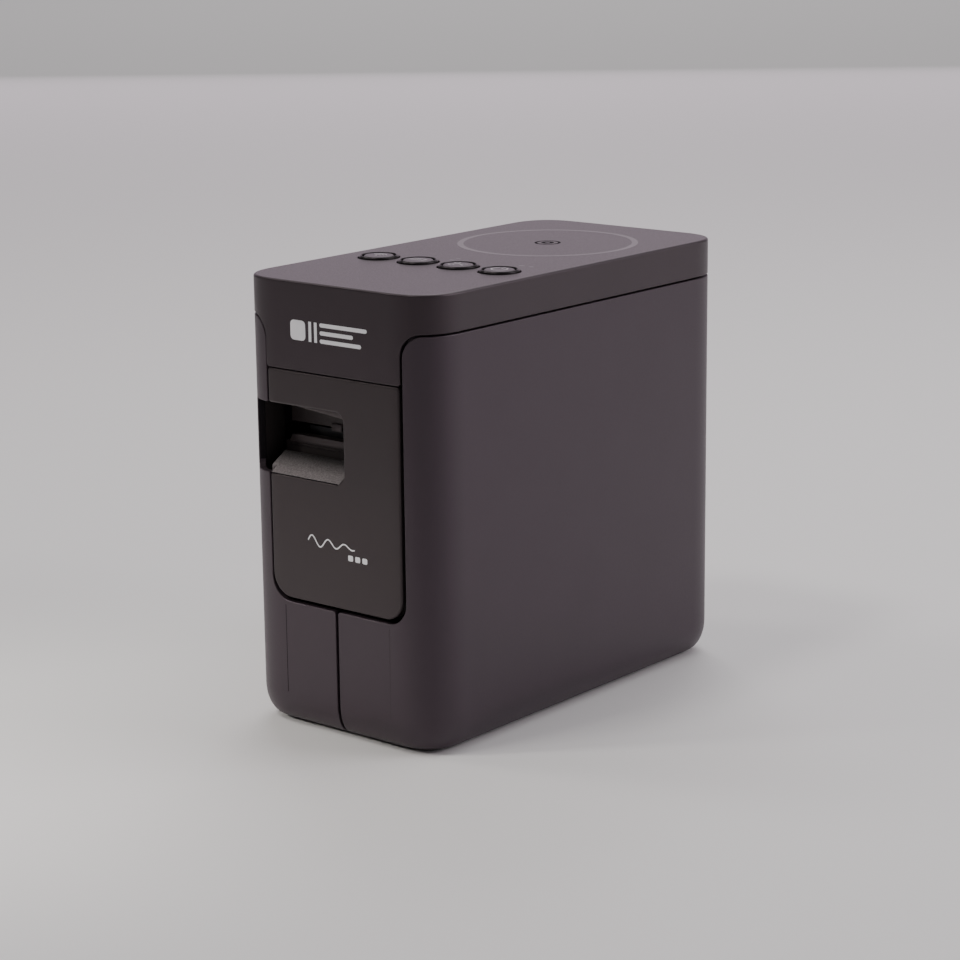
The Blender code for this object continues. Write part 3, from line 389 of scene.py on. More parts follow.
def round_from(x, rear=False):
    """How far round the plan outline a given x lies, on the front or on the rear."""
    run = min(abs(x), STRAIGHT_X)
    if abs(x) > STRAIGHT_X:
        run += float(np.interp(abs(x) - STRAIGHT_X, CORNER_ACROSS, CORNER_LENGTHS))
    if rear:
        run = HALF_ROUND - run
    return run if x >= 0 else -run


def profile(v):
    """Height, inset, and the normal's outward and upward parts, v up the case's side."""
    if v < BASE_TOP:
        turn = pi / 2 * (1 - (BASE_TOP - v) / BASE_ARC)
        out, up = BASE_RISE * sin(turn), -BASE_INSET * cos(turn)
        size = hypot(out, up)
        return BASE_Z + BASE_RISE * (1 - cos(turn)), BASE_INSET * (1 - sin(turn)), out / size, up / size
    if v > TOP_SPRING:
        turn = min((v - TOP_SPRING) / TOP_ROUND, pi / 2)
        return TOP_SPRING + TOP_ROUND * sin(turn), TOP_ROUND * (1 - cos(turn)), cos(turn), sin(turn)
    return v, 0.0, 1.0, 0.0


def side_surface(spot, depth):
    """Point and normal of the case's side, at a depth under its outer face."""
    start, reach, normal = plan_frame(spot[0])
    height, inset, out, up = profile(spot[1])
    if depth > WALL / 2 and height > TOP_FACE - WALL:
        height, inset, depth = TOP_FACE - WALL, WALL, 0
    point = np.array((*(start + reach * (CORNER - inset - PROUD)), height))
    facing = np.array((normal[0] * out, normal[1] * out, up))
    return point - facing * depth, facing


def level_surface(height, up):
    """A flat top or bottom face at a height."""
    def surface(spot, depth):
        facing = np.array((0.0, 0.0, up))
        return np.array((spot[0], spot[1], height)) - facing * depth, facing
    return surface


def along(start, end, step):
    """Points from start up to, but not including, end."""
    count = max(1, int(np.ceil(hypot(end[0] - start[0], end[1] - start[1]) / step)))
    return [(start[0] + (end[0] - start[0]) * i / count, start[1] + (end[1] - start[1]) * i / count)
            for i in range(count)]


def loop(corners, step=1.2):
    """A dense closed outline from corners (x, y[, radius])."""
    count = len(corners)
    arcs = [fillet(corners[i - 1], corners[i], corners[(i + 1) % count]) for i in range(count)]
    outline = []
    for i, arc in enumerate(arcs):
        for spot in arc[:-1]:
            outline.append((*spot, False))
        following = arcs[(i + 1) % count][0]
        outline += [(*spot, False) for spot in along(arc[-1], following, step)]
    return outline


def fillet(before, corner, after):
    """The arc that rounds a corner, or the corner itself."""
    radius = corner[2] if len(corner) > 2 else 0
    here = np.array(corner[:2], float)
    if not radius:
        return [tuple(here)]
    back = np.array(before[:2]) - here
    ahead = np.array(after[:2]) - here
    back /= np.linalg.norm(back)
    ahead /= np.linalg.norm(ahead)
    half = acos(float(np.clip(back @ ahead, -1, 1))) / 2
    middle = back + ahead
    centre = here + middle / np.linalg.norm(middle) * radius / sin(half)
    first = here + back * radius * cos(half) / sin(half) - centre
    last = here + ahead * radius * cos(half) / sin(half) - centre
    sweep = atan2(first[0] * last[1] - first[1] * last[0], float(first @ last))
    steps = max(3, int(abs(sweep) * max(radius, 1.0) / 0.5))
    start = atan2(first[1], first[0])
    turns = [start + sweep * i / steps for i in range(steps + 1)]
    return [(centre[0] + radius * cos(turn), centre[1] + radius * sin(turn)) for turn in turns]


def ring_of(centre, radius, count=72):
    """A round hole's outline, clockwise."""
    turns = [-2 * pi * i / count for i in range(count)]
    return [(centre[0] + radius * cos(turn), centre[1] + radius * sin(turn), False) for turn in turns]


def moved_in(outline, distance):
    """An outline moved into its patch by distance, except along joined sides."""
    spots = np.array([point[:2] for point in outline], float)
    joined = [point[2] for point in outline]
    heading = np.roll(spots, -1, axis=0) - spots
    heading /= np.linalg.norm(heading, axis=1)[:, None]
    inward = np.stack([-heading[:, 1], heading[:, 0]], axis=1)
    moved, outward = [], []
    for i, spot in enumerate(spots):
        before, after = inward[i - 1], inward[i]
        reach = [0 if joined[i - 1] else distance, 0 if joined[i] else distance]
        lean = float(before @ after)
        if lean > 0.9999:
            shift = after * max(reach)
        else:
            size = 1 - lean * lean
            shift = before * (reach[0] - lean * reach[1]) / size + after * (reach[1] - lean * reach[0]) / size
        moved.append(spot + shift)
        facing = (0 if joined[i - 1] else 1) * before + (0 if joined[i] else 1) * after
        size = np.linalg.norm(facing)
        outward.append(-facing / size if size > 0.01 else np.zeros(2))
    return moved, outward


def sides_of(outline):
    starts = np.array(outline, float)
    return zip(starts, np.roll(starts, -1, axis=0))


def inside_of(spots, loops):
    """Which spots lie inside the patch."""
    spots = np.array(spots, float)
    inside = np.zeros(len(spots), bool)
    for start, end in (side for outline in loops for side in sides_of(outline)):
        if start[1] != end[1]:
            crossing = (spots[:, 1] < start[1]) != (spots[:, 1] < end[1])
            at = start[0] + (spots[:, 1] - start[1]) / (end[1] - start[1]) * (end[0] - start[0])
            inside ^= crossing & (spots[:, 0] < at)
    return inside


def clear_of(spots, loops, distance):
    """The spots that lie inside the patch, and at least distance from its outlines."""
    spots = np.array(spots, float)
    nearest = np.full(len(spots), np.inf)
    for start, end in (side for outline in loops for side in sides_of(outline)):
        run = end - start
        share = np.clip(((spots - start) @ run) / max(run @ run, 1e-12), 0, 1)
        nearest = np.minimum(nearest, np.linalg.norm(spots - start - share[:, None] * run, axis=1))
    return [tuple(spot) for spot in spots[inside_of(spots, loops) & (nearest > distance)]]


def edge_rounds(rim):
    """(distance in from the outline, depth, turn) of the rings that round a wall's two edges."""
    outer = [pi / 2 * i / 4 for i in range(5)]
    inner = [pi / 2 * i / 2 for i in (2, 1, 0)]
    rounds = [(rim * (1 - sin(turn)), rim * (1 - cos(turn)), turn) for turn in outer]
    rounds += [(INNER_RIM * (1 - sin(turn)), WALL - INNER_RIM * (1 - cos(turn)), pi - turn) for turn in inner]
    return rounds


class Moulding:
    """A thin moulding: patches of an outer face with an inner face under it, and rounded edges all round."""

    def __init__(self):
        self.shaper = bmesh.new()
        self.normal = self.shaper.verts.layers.float_vector.new("facing")

    def vertex(self, point, facing):
        made = self.shaper.verts.new(point)
        made[self.normal] = facing
        return made

    def face(self, corners):
        """Adds a face that looks the way its corners' normals do."""
        middle = sum((corner[self.normal] for corner in corners), Vector())
        edge = corners[1].co - corners[0].co
        turn = sum((edge.cross(corners[i].co - corners[0].co) for i in range(2, len(corners))), Vector())
        if turn.dot(middle) < 0:
            corners = corners[::-1]
        if len(set(corners)) == len(corners):
            self.shaper.faces.new(corners)

    def patch(self, loops, surface, rim=RIM, grid=(), hole_rim=RIM, inner_spots=None):
        """One face of the moulding. `grid` holds extra spots for where it curves."""
        outer, inner = [], []
        for number, outline in enumerate(loops):
            rings = []
            for reach, depth, turn in edge_rounds(hole_rim if number else rim):
                spots, outward = moved_in(outline, reach)
                if inner_spots and number == 0 and depth == WALL:
                    spots = inner_spots
                ring = []
                for spot, away in zip(spots, outward):
                    point, facing = surface(spot, depth)
                    if np.any(away):
                        beside = surface(spot + away * 0.05, depth)[0] - point
                        beside -= facing * (beside @ facing)
                        beside /= np.linalg.norm(beside)
                        facing = facing * cos(turn) + beside * sin(turn)
                    elif turn > pi / 2:
                        facing = -facing
                    ring.append(self.vertex(point, facing))
                rings.append(ring)
                if depth == 0:
                    outer.append((spots, ring))
                if depth == WALL:
                    inner.append((spots, ring))
            for first, second in zip(rings, rings[1:]):
                for i in range(len(outline)):
                    if not outline[i][2]:
                        j = (i + 1) % len(outline)
                        self.face([first[i], first[j], second[j], second[i]])
        self.fill(outer, surface, 0, grid)
        self.fill(inner, surface, WALL, grid)

    def fill(self, rings, surface, depth, grid):
        """Triangles across a patch's face, at a depth."""
        spots, corners, edges = [], [], []
        for outline, ring in rings:
            first = len(spots)
            spots += [tuple(spot) for spot in outline]
            corners += ring
            edges += [(first + i, first + (i + 1) % len(ring)) for i in range(len(ring))]
        for spot in clear_of(grid, [outline for outline, _ in rings], 0.12) if len(grid) else ():
            point, facing = surface(spot, depth)
            spots.append(spot)
            corners.append(self.vertex(point, facing if depth == 0 else -facing))
        found = delaunay_2d_cdt([Vector(spot) for spot in spots], edges, [], 1, 1e-6)
        middles = [sum((found[0][i] for i in triangle), Vector((0, 0))) / 3 for triangle in found[2]]
        kept = inside_of(middles, [outline for outline, _ in rings])
        for triangle in (triangle for triangle, keep in zip(found[2], kept) if keep):
            self.face([corners[found[3][i][0]] for i in triangle])

    def build(self, name, surface, body, weld=0.002):
        shaper = self.shaper
        bmesh.ops.remove_doubles(shaper, verts=shaper.verts, dist=weld)
        bmesh.ops.dissolve_degenerate(shaper, edges=shaper.edges, dist=1e-4)
        loose = [vertex for vertex in shaper.verts if not vertex.link_faces]
        bmesh.ops.delete(shaper, geom=loose, context="VERTS")
        shaper.verts.ensure_lookup_table()
        facing = [vertex[self.normal].normalized() for vertex in shaper.verts]
        open_edges = sum(1 for edge in shaper.edges if len(edge.link_faces) != 2)
        if open_edges:
            print(f"{name}: {open_edges} open edges")
        made = finish_mesh(shaper, name, surface, body)
        made.data.attributes.remove(made.data.attributes["facing"])
        made.data.normals_split_custom_set_from_vertices(facing)
        return made


# ---------------------------------------------------------------- shared shapes

def frange(start, end, step):
    count = max(1, int(round(abs(end - start) / step)))
    return [start + (end - start) * i / count for i in range(count + 1)]


def side_grid(u_low, u_high, v_low, v_high):
    """Spots across a stretch of the case's side, close together where it curves."""
    corner = [STRAIGHT_X + CORNER_RUN * i / 24 for i in range(25)]
    runs = frange(0, STRAIGHT_X, 5.5) + corner + frange(STRAIGHT_X + CORNER_RUN, HALF_ROUND / 2, 8)
    runs += [HALF_ROUND - run for run in runs]
    wide = sorted({side * round(run, 6) for run in runs for side in (-1, 1)})
    rows = frange(BASE_TOP, TOP_SPRING - 2, 4)
    close = round_stops(-HALF_ROUND, HALF_ROUND)
    curved_rows = frange(BASE_V, BASE_TOP, BASE_ARC / 12)[:-1]
    curved_rows += frange(TOP_SPRING, TOP_V, TOP_ROUND * pi / 12)
    spots = [(u, v) for u in wide for v in rows] + [(u, v) for u in close for v in curved_rows]
    return [(u, v) for u, v in spots if u_low < u < u_high and v_low < v < v_high]


def level_outline(inset, u_start, u_end):
    """Points (x, y) of the plan outline at an inset."""
    outline = []
    for u in round_stops(u_start, u_end):
        start, reach, _ = plan_frame(u)
        outline.append(tuple(start + reach * (CORNER - inset - PROUD)))
    return outline


def round_stops(u_start, u_end):
    """Stops round the plan outline, shared by the patches that meet along it."""
    return frange(u_start, u_end, 1.1)


AXES = {"X": lambda a, b, t: (t, a, b), "Y": lambda a, b, t: (a, t, b), "Z": lambda a, b, t: (a, b, t)}


def add_prism(shaper, outline, axis, span):
    """Draws a closed prism with an outline across an axis."""
    place = AXES[axis]
    rings = [[shaper.verts.new(place(a, b, t)) for a, b in outline] for t in span]
    shaper.faces.new(rings[0])
    shaper.faces.new(rings[1])
    bridge(shaper, *rings)


def prism_mesh(name, outline, axis, span, surface, body, bevel=0.2, segments=2):
    """A solid from an outline drawn across an axis, with rounded edges."""
    shaper = bmesh.new()
    add_prism(shaper, outline, axis, span)
    bmesh.ops.recalc_face_normals(shaper, faces=shaper.faces)
    if bevel:
        sharp = [edge for edge in shaper.edges if edge.calc_face_angle(0) > radians(30)]
        bmesh.ops.bevel(shaper, geom=sharp, offset=bevel, segments=segments, profile=0.5, affect="EDGES",
                        clamp_overlap=True)
    return finish_mesh(shaper, name, surface, body)


def block(name, low, high, surface, body, bevel=0.2, segments=2):
    outline = ((low[0], low[1]), (high[0], low[1]), (high[0], high[1]), (low[0], high[1]))
    return prism_mesh(name, outline, "Z", (low[2], high[2]), surface, body, bevel, segments)


def lathe(name, turned, axis, centre, surface, body, sides=48, angle=30):
    """A turned solid: profile points (radius, distance along the axis), from one end round to the other."""
    place = AXES[axis]
    shaper = bmesh.new()
    rings = []
    for radius, far in turned:
        rings.append([shaper.verts.new(place(centre[0] + radius * cos(2 * pi * i / sides),
                                             centre[1] + radius * sin(2 * pi * i / sides), far))
                      for i in range(sides)])
    for first, second in zip(rings, rings[1:] + rings[:1]):
        bridge(shaper, first, second)
    bmesh.ops.remove_doubles(shaper, verts=shaper.verts, dist=0.0001)
    bmesh.ops.recalc_face_normals(shaper, faces=shaper.faces)
    return finish_mesh(shaper, name, surface, body, True, angle)


def bridge(shaper, first, second):
    """Faces between two rings of vertices."""
    for i in range(len(first)):
        j = (i + 1) % len(first)
        shaper.faces.new((first[i], first[j], second[j], second[i]))


def soft_profile(points, radius=0.15, steps=3):
    """A turned profile with each corner rounded off."""
    return [spot for i, point in enumerate(points)
            for spot in soft_corner(points[i - 1], point, points[(i + 1) % len(points)], radius, steps)]


def soft_corner(before, here, after, radius, steps):
    here = np.array(here, float)
    back, ahead = np.array(before) - here, np.array(after) - here
    reach = min(radius, np.linalg.norm(back) * 0.45, np.linalg.norm(ahead) * 0.45)
    if here[0] < 1e-6 or reach < 1e-4:
        return [tuple(here)]
    first = here + back / np.linalg.norm(back) * reach
    last = here + ahead / np.linalg.norm(ahead) * reach
    shares = [i / steps for i in range(steps + 1)]
    return [tuple(first * (1 - t) ** 2 + here * 2 * t * (1 - t) + last * t ** 2) for t in shares]


# ---------------------------------------------------------------- outer mouldings

def open_path(corners, step=1.2):
    """Free sides through corners (x, y[, radius]), from the first up to, but not including, the last."""
    arcs = [[tuple(corners[0][:2])]]
    arcs += [fillet(corners[i - 1], corners[i], corners[i + 1]) for i in range(1, len(corners) - 1)]
    arcs.append([tuple(corners[-1][:2])])
    outline = []
    for arc, following in zip(arcs, arcs[1:]):
        outline += [(*spot, False) for spot in arc[:-1]]
        outline += [(*spot, False) for spot in along(arc[-1], following[0], step)]
    return outline


def box_corners(low, high, radius):
    return [(*low, radius), (high[0], low[1], radius), (*high, radius), (low[0], high[1], radius)]


def hole_loop(low, high, radius):
    """A rectangular hole with rounded corners, clockwise."""
    corners = box_corners(low, high, radius)
    return loop(corners[:1] + corners[:0:-1], 0.8)


def joined_side(u_start, u_end, v):
    """A stretch of a side patch's outline that another patch carries on from."""
    return [(u, v, True) for u in round_stops(u_start, u_end)[:-1]]


def joined_border(inset, u_start, u_end):
    """The same stretch as drawn on a flat top or bottom patch."""
    return [(*spot, True) for spot in level_outline(inset, u_start, u_end)[:-1]]


def make_right_shell():
    """Right side, half the front, half the back and most of the bottom."""
    shell = Moulding()
    opening = round_from(PANEL_RIGHT + PANEL_GAP)
    rear = round_from(SHELL_BACK_X, True)
    sill = PANEL_BOTTOM - PANEL_GAP
    outline = joined_side(SPLIT, rear, BASE_V) + open_path([
        (rear, BASE_V), (rear, SHELL_TOP, 0.6), (opening, SHELL_TOP, APRON_FILLET),
        (opening, sill, PANEL_CORNER - 1), (SPLIT, sill, 0.8), (SPLIT, BASE_V)])
    port = hole_loop((round_from(PORT_X[1], True), PORT_Z[0]), (round_from(PORT_X[0], True), PORT_Z[1]), 0.9)
    jack = ring_of((HALF_ROUND - JACK[0], JACK[1]), JACK_HOLE_R)
    shell.patch([outline, jack, port], side_surface, RIM, side_grid(0, HALF_ROUND, BASE_V, SHELL_TOP))
    border = level_outline(BASE_INSET, SPLIT, rear)
    bottom = joined_border(BASE_INSET, SPLIT, rear) + open_path([
        border[-1], (SHELL_BACK_X, SHELL_STEP_Y, 0.8), (SPLIT, SHELL_STEP_Y, 0.8), border[0]])
    shell.patch([bottom, hole_loop(*BATTERY_OPENING, 0.8)], level_surface(BASE_Z, -1), RIM, flat_grid(), 0.15)
    made = shell.build("right_shell_moulding", CASE, "case")
    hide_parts("right_shell")


def flat_grid(step=6.0):
    return [(x, y) for x in frange(LEFT_X, RIGHT_X, step) for y in frange(FRONT_Y, BACK_Y, step)]


def make_left_shell():
    """The door: left side, half the front, half the back, and a lip along the bottom."""
    door = Moulding()
    rear = -round_from(-DOOR_BACK_X, True)
    opening = round_from(PANEL_LEFT - GAP)
    notch = round_from(NOTCH_X)
    sill = PANEL_BOTTOM - PANEL_GAP
    outline = joined_side(rear, -SPLIT, BASE_V) + open_path([
        (-SPLIT, BASE_V), (-SPLIT, sill, 0.8), (opening, sill, PANEL_CORNER), (opening, EXIT_LOW, 0.7),
        (notch, EXIT_LOW, 3.0), (notch, EXIT_HIGH, 1.0), (opening, EXIT_HIGH, 0.7),
        (opening, SHELL_TOP, APRON_FILLET), (rear, SHELL_TOP, 0.6), (rear, BASE_V)])
    door.patch([outline], side_surface, RIM, side_grid(-HALF_ROUND, 0, BASE_V, SHELL_TOP))
    border = level_outline(BASE_INSET, rear, -SPLIT)
    floor_x, floor_y = DOOR_FLOOR
    bottom = joined_border(BASE_INSET, rear, -SPLIT) + open_path([
        border[-1], (-SPLIT, -floor_y, 0.6), (floor_x, -floor_y, 0.6), (floor_x, floor_y, 0.6),
        (DOOR_BACK_X, floor_y, 0.6), border[0]])
    door.patch([bottom], level_surface(BASE_Z, -1), RIM)
    made = door.build("left_shell_moulding", CASE, "door")
    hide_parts("left_shell")


def make_top_cover():
    """Top, band and apron in one moulding, with four key holes."""
    cover = Moulding()
    left, right = round_from(APRON_LEFT), round_from(APRON_RIGHT)
    seam = frange(BAND_Z, TOP_SPRING, 3) + frange(TOP_SPRING, TOP_V, TOP_ROUND * pi / 12)[1:]
    outline = open_path([
        (-HALF_ROUND, BAND_Z), (left, BAND_Z, APRON_FILLET), (left, APRON_Z, 1.0), (right, APRON_Z, 1.0),
        (right, BAND_Z, APRON_FILLET), (HALF_ROUND, BAND_Z)])
    outline += [(HALF_ROUND, v, True) for v in seam[:-1]]
    outline += [(u, TOP_V, True) for u in round_stops(-HALF_ROUND, HALF_ROUND)[:0:-1]]
    outline += [(-HALF_ROUND, v, True) for v in seam[:0:-1]]
    cover.patch([outline], side_surface, RIM, side_grid(-HALF_ROUND, HALF_ROUND, APRON_Z, TOP_V))
    holes = [ring_of((key_x(spot), KEY_Y), KEY_HOLE_R) for spot in range(len(KEYS))]
    border = joined_border(TOP_ROUND, -HALF_ROUND, HALF_ROUND)
    inside = level_outline(WALL, -HALF_ROUND, HALF_ROUND)[:-1]
    cover.patch([border] + holes, level_surface(TOP_FACE, 1), RIM, flat_grid(), RIM, inside)
    made = cover.build("top_cover_moulding", COVER, "case")
    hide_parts("top_cover")


def make_front_panel():
    panel = Moulding()
    left, right, exit_right = round_from(PANEL_LEFT), round_from(PANEL_RIGHT), round_from(EXIT_RIGHT)
    outline = loop([
        (left, PANEL_BOTTOM, PANEL_CORNER), (right, PANEL_BOTTOM, PANEL_CORNER - 1), (right, PANEL_TOP, 1.0),
        (left, PANEL_TOP, 1.0), (left, EXIT_HIGH, 0.9), (exit_right, EXIT_HIGH, 3.0),
        (exit_right, EXIT_LOW + EXIT_CHAMFER, 0.8), (exit_right - EXIT_CHAMFER, EXIT_LOW, 0.8),
        (left, EXIT_LOW, 0.9)])
    panel.patch([outline], side_surface, 0.8, side_grid(left, right, PANEL_BOTTOM, PANEL_TOP))
    made = panel.build("front_panel_moulding", PANEL, "case")
    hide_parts("front_panel")
    span = (FRONT_Y + WALL, FRONT_Y + 6.2)
    skirt = prism_mesh("front_panel_skirt", skirt_outline(), "Y", span, DARK_INNER, "case")


def skirt_outline(thickness=1.5):
    """The lip behind the panel's right side and bottom, as a bent strip."""
    strip = []
    for inset in (0.05, thickness):
        low, left, right = PANEL_BOTTOM + inset, PANEL_LEFT + inset, PANEL_RIGHT - inset
        corners = [(right, PANEL_TOP - 0.4), (right, low, PANEL_CORNER - 1 - inset),
                   (left, low, PANEL_CORNER - inset), (left, PANEL_BOTTOM + PANEL_CORNER)]
        side = [spot[:2] for spot in open_path(corners, 4.0)] + [corners[-1]]
        strip += side if inset < thickness else side[::-1]
    return strip


def make_battery_cover():
    cover = Moulding()
    (low_x, low_y), (high_x, high_y) = BATTERY_OPENING
    low, high = (low_x + GAP, low_y + GAP), (high_x - GAP, high_y - GAP)
    outline = loop(box_corners(low, high, 0.6), 2.0)
    cover.patch([outline], level_surface(BASE_Z, -1), 0.15)
    made = cover.build("battery_cover_moulding", CASE, "battery_door")
    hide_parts("battery_cover")
    for side, x in (("left", 13.0), ("right", 27.0)):
        rib = block(f"battery_cover_rib_{side}", (x - 0.6, 14, BASE_Z + WALL - 0.2), (x + 0.6, 54, 4.6), CASE,
                    "battery_door")


def key_x(spot):
    """X of a key's centre, counted from the left."""
    return (spot - 1.5) * KEY_PITCH


# ---------------------------------------------------------------- printed marks and painted shade lines

def band_of(points, width):
    """The outline of a line of a given width drawn through points."""
    spots = np.array(points, float)
    heading = np.gradient(spots, axis=0)
    heading /= np.linalg.norm(heading, axis=1)[:, None]
    side = np.stack([-heading[:, 1], heading[:, 0]], axis=1) * width / 2
    return [tuple(spot) for spot in spots + side] + [tuple(spot) for spot in (spots - side)[::-1]]


def arc_points(centre, radius, start, end, steps=24):
    turns = [radians(start + (end - start) * i / steps) for i in range(steps + 1)]
    return [(centre[0] + radius * cos(turn), centre[1] + radius * sin(turn)) for turn in turns]


def rounded_box(low, high, radius):
    return [spot[:2] for spot in loop(box_corners(low, high, radius), 50)]


def print_and_shade_on(name, shapes, axis, span, surface, body):
    """Thin printed shapes, and thin lines of painted shade, joined into one piece."""
    shaper = bmesh.new()
    for shape in shapes:
        add_prism(shaper, shape, axis, span)
    bmesh.ops.recalc_face_normals(shaper, faces=shaper.faces)
    made = finish_mesh(shaper, name, surface, body, smooth=False)


def ring_shapes(centre, radius, width, parts=4):
    """A printed circle, in arcs that meet end to end."""
    step = 360 / parts
    return [band_of(arc_points(centre, radius, step * i, step * (i + 1), 96 // parts), width)
            for i in range(parts)]


def make_prints():
    on_top = (TOP_FACE - 0.03, TOP_FACE + 0.02)
    on_front = (FRONT_Y + 0.005, FRONT_Y + 0.06)
    print_and_shade_on("tap_ring_print", ring_shapes((0, RING_Y), RING_R, 2.0, 6), "Z", on_top, FAINT_PRINT, "case")
    sign = ring_shapes((0, RING_Y), 3.9, 0.9) + ring_shapes((0, RING_Y), 1.5, 1.2)
    print_and_shade_on("tap_sign_print", sign, "Z", on_top, DARK_PRINT_AND_SHADE, "case")
    lamps = [rounded_box((x, y), (x + 1.9, y + 0.6), 0.25) for x, y in ((-2.6, -13.5), (-2.6, -16.8))]
    lamps += [rounded_box((low, -12.9), (high, -12.2), 0.3) for low, high in ((22.4, 24.6), (26.4, 28.2))]
    print_and_shade_on("lamp_marks_print", lamps, "Z", on_top, PALE_GREY, "case")
    tape = [rounded_box((-16.3, 124.9), (-10.1, 131.1), 1.4)]
    tape += [band_of([(x, 124.9), (x, 131.1)], 1.15) for x in (-8.2, -5.9)]
    for z, end in ((129.85, 15.0), (127.4, 9.4), (124.9, 12.6)):
        tape.append(rounded_box((-4.2, z), (end, z + 1.25), 0.6))
    print_and_shade_on("apron_mark_print", tape, "Y", on_front, WHITE_PRINT, "case")
    wave = [(-11.2 + i * 0.45, 62.4 + 1.9 * sin(i * 0.42) * (1 - i / 60)) for i in range(44)]
    marks = [band_of(wave, 0.45)] + [rounded_box((x, 58.3), (x + 2.0, 60.1), 0.4) for x in (5.4, 8.3, 11.2)]
    print_and_shade_on("panel_mark_print", marks, "Y", on_front, WHITE_PRINT, "case")
    # Painted shade: a thin dark line down each side of the lower front, where the corners start to curve
    # away, standing in for the shading along that edge.
    for side, x, surface, body in (("left", -SHADE_LINE_X, DARK_PRINT_AND_SHADE, "door"),
                                   ("right", SHADE_LINE_X, INNER_BLACK, "case")):
        line = rounded_box((x - 0.12, BASE_TOP), (x + 0.12, PANEL_BOTTOM - 2.5), 0.1)
        print_and_shade_on(f"corner_shade_line_{side}", [line], "Y", (FRONT_Y + 0.01, FRONT_Y + 0.06), surface, body)


# ---------------------------------------------------------------- keys

def key_signs():
    """A generic sign for each key: waves, a label, scissors, and power."""
    waves = [band_of(arc_points((0, -1.5), radius, 40, 140), 0.42) for radius in (1.5, 2.5, 3.5)]
    waves.append(rounded_box((-0.4, -1.9), (0.4, -1.1), 0.35))
    label = [band_of(points, 0.4) for points in
             ([(-2.6, -1.4), (2.6, -1.4)], [(-2.6, 1.4), (2.6, 1.4)], [(-2.6, -1.6), (-2.6, 1.6)],
              [(2.6, -1.6), (2.6, 1.6)], [(-1.4, 0), (1.4, 0)])]
    scissors = ring_shapes((-1.6, -1.5), 0.9, 0.4) + ring_shapes((-1.6, 1.5), 0.9, 0.4)
    scissors += [band_of([(-0.9, -0.9), (2.8, 1.3)], 0.45), band_of([(-0.9, 0.9), (2.8, -1.3)], 0.45)]
    power = [band_of(arc_points((0, 0), 2.5, 125, 415, 40), 0.55), band_of([(0, 1.0), (0, 3.1)], 0.55)]
    return {"wireless": waves, "mode": label, "feed_cut": scissors, "power": power}


def make_keys():
    """Each key: a dark collar, a groove, and a low domed cap with its sign."""
    signs = key_signs()
    low = node_box("power_button")[0][2]
    stem, flange, bore, cap = 2.2, 7.55, 5.5, 4.9
    flange_low, flange_high, seat = 139.4, 140.2, 140.6
    edge, cap_top = KEY_TOP - 0.02, KEY_TOP - 0.08
    for spot, key in enumerate(KEYS):
        centre = (key_x(spot), KEY_Y)
        body = f"{key}_key"
        turned = [(bore, seat), (bore, edge - 0.35), (5.7, edge), (5.95, edge), (KEY_R, edge - 0.5),
                  (KEY_R, flange_high + 0.2), (flange, flange_high), (flange, flange_low), (stem, flange_low),
                  (stem, low), (0, low), (0, seat)]
        collar = lathe(f"{key}_key_collar", soft_profile(turned, 0.1), "Z", centre, KEY_RING, body, 72)
        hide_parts(f"{key}_button")
        turned = [(0, seat - 0.1), (cap, seat - 0.1), (cap, cap_top - 0.4), (cap - 0.25, cap_top - 0.12),
                  (3.7, cap_top), (0, cap_top)]
        dome = lathe(f"{key}_key_cap", soft_profile(turned, 0.12), "Z", centre, KEY_BLACK, body, 72)
        shapes = [[(centre[0] + x, centre[1] + y) for x, y in shape] for shape in signs[key]]
        print_and_shade_on(f"{key}_key_sign", shapes, "Z", (cap_top - 0.03, cap_top + 0.05), PRINT, body)


# ---------------------------------------------------------------- label exit

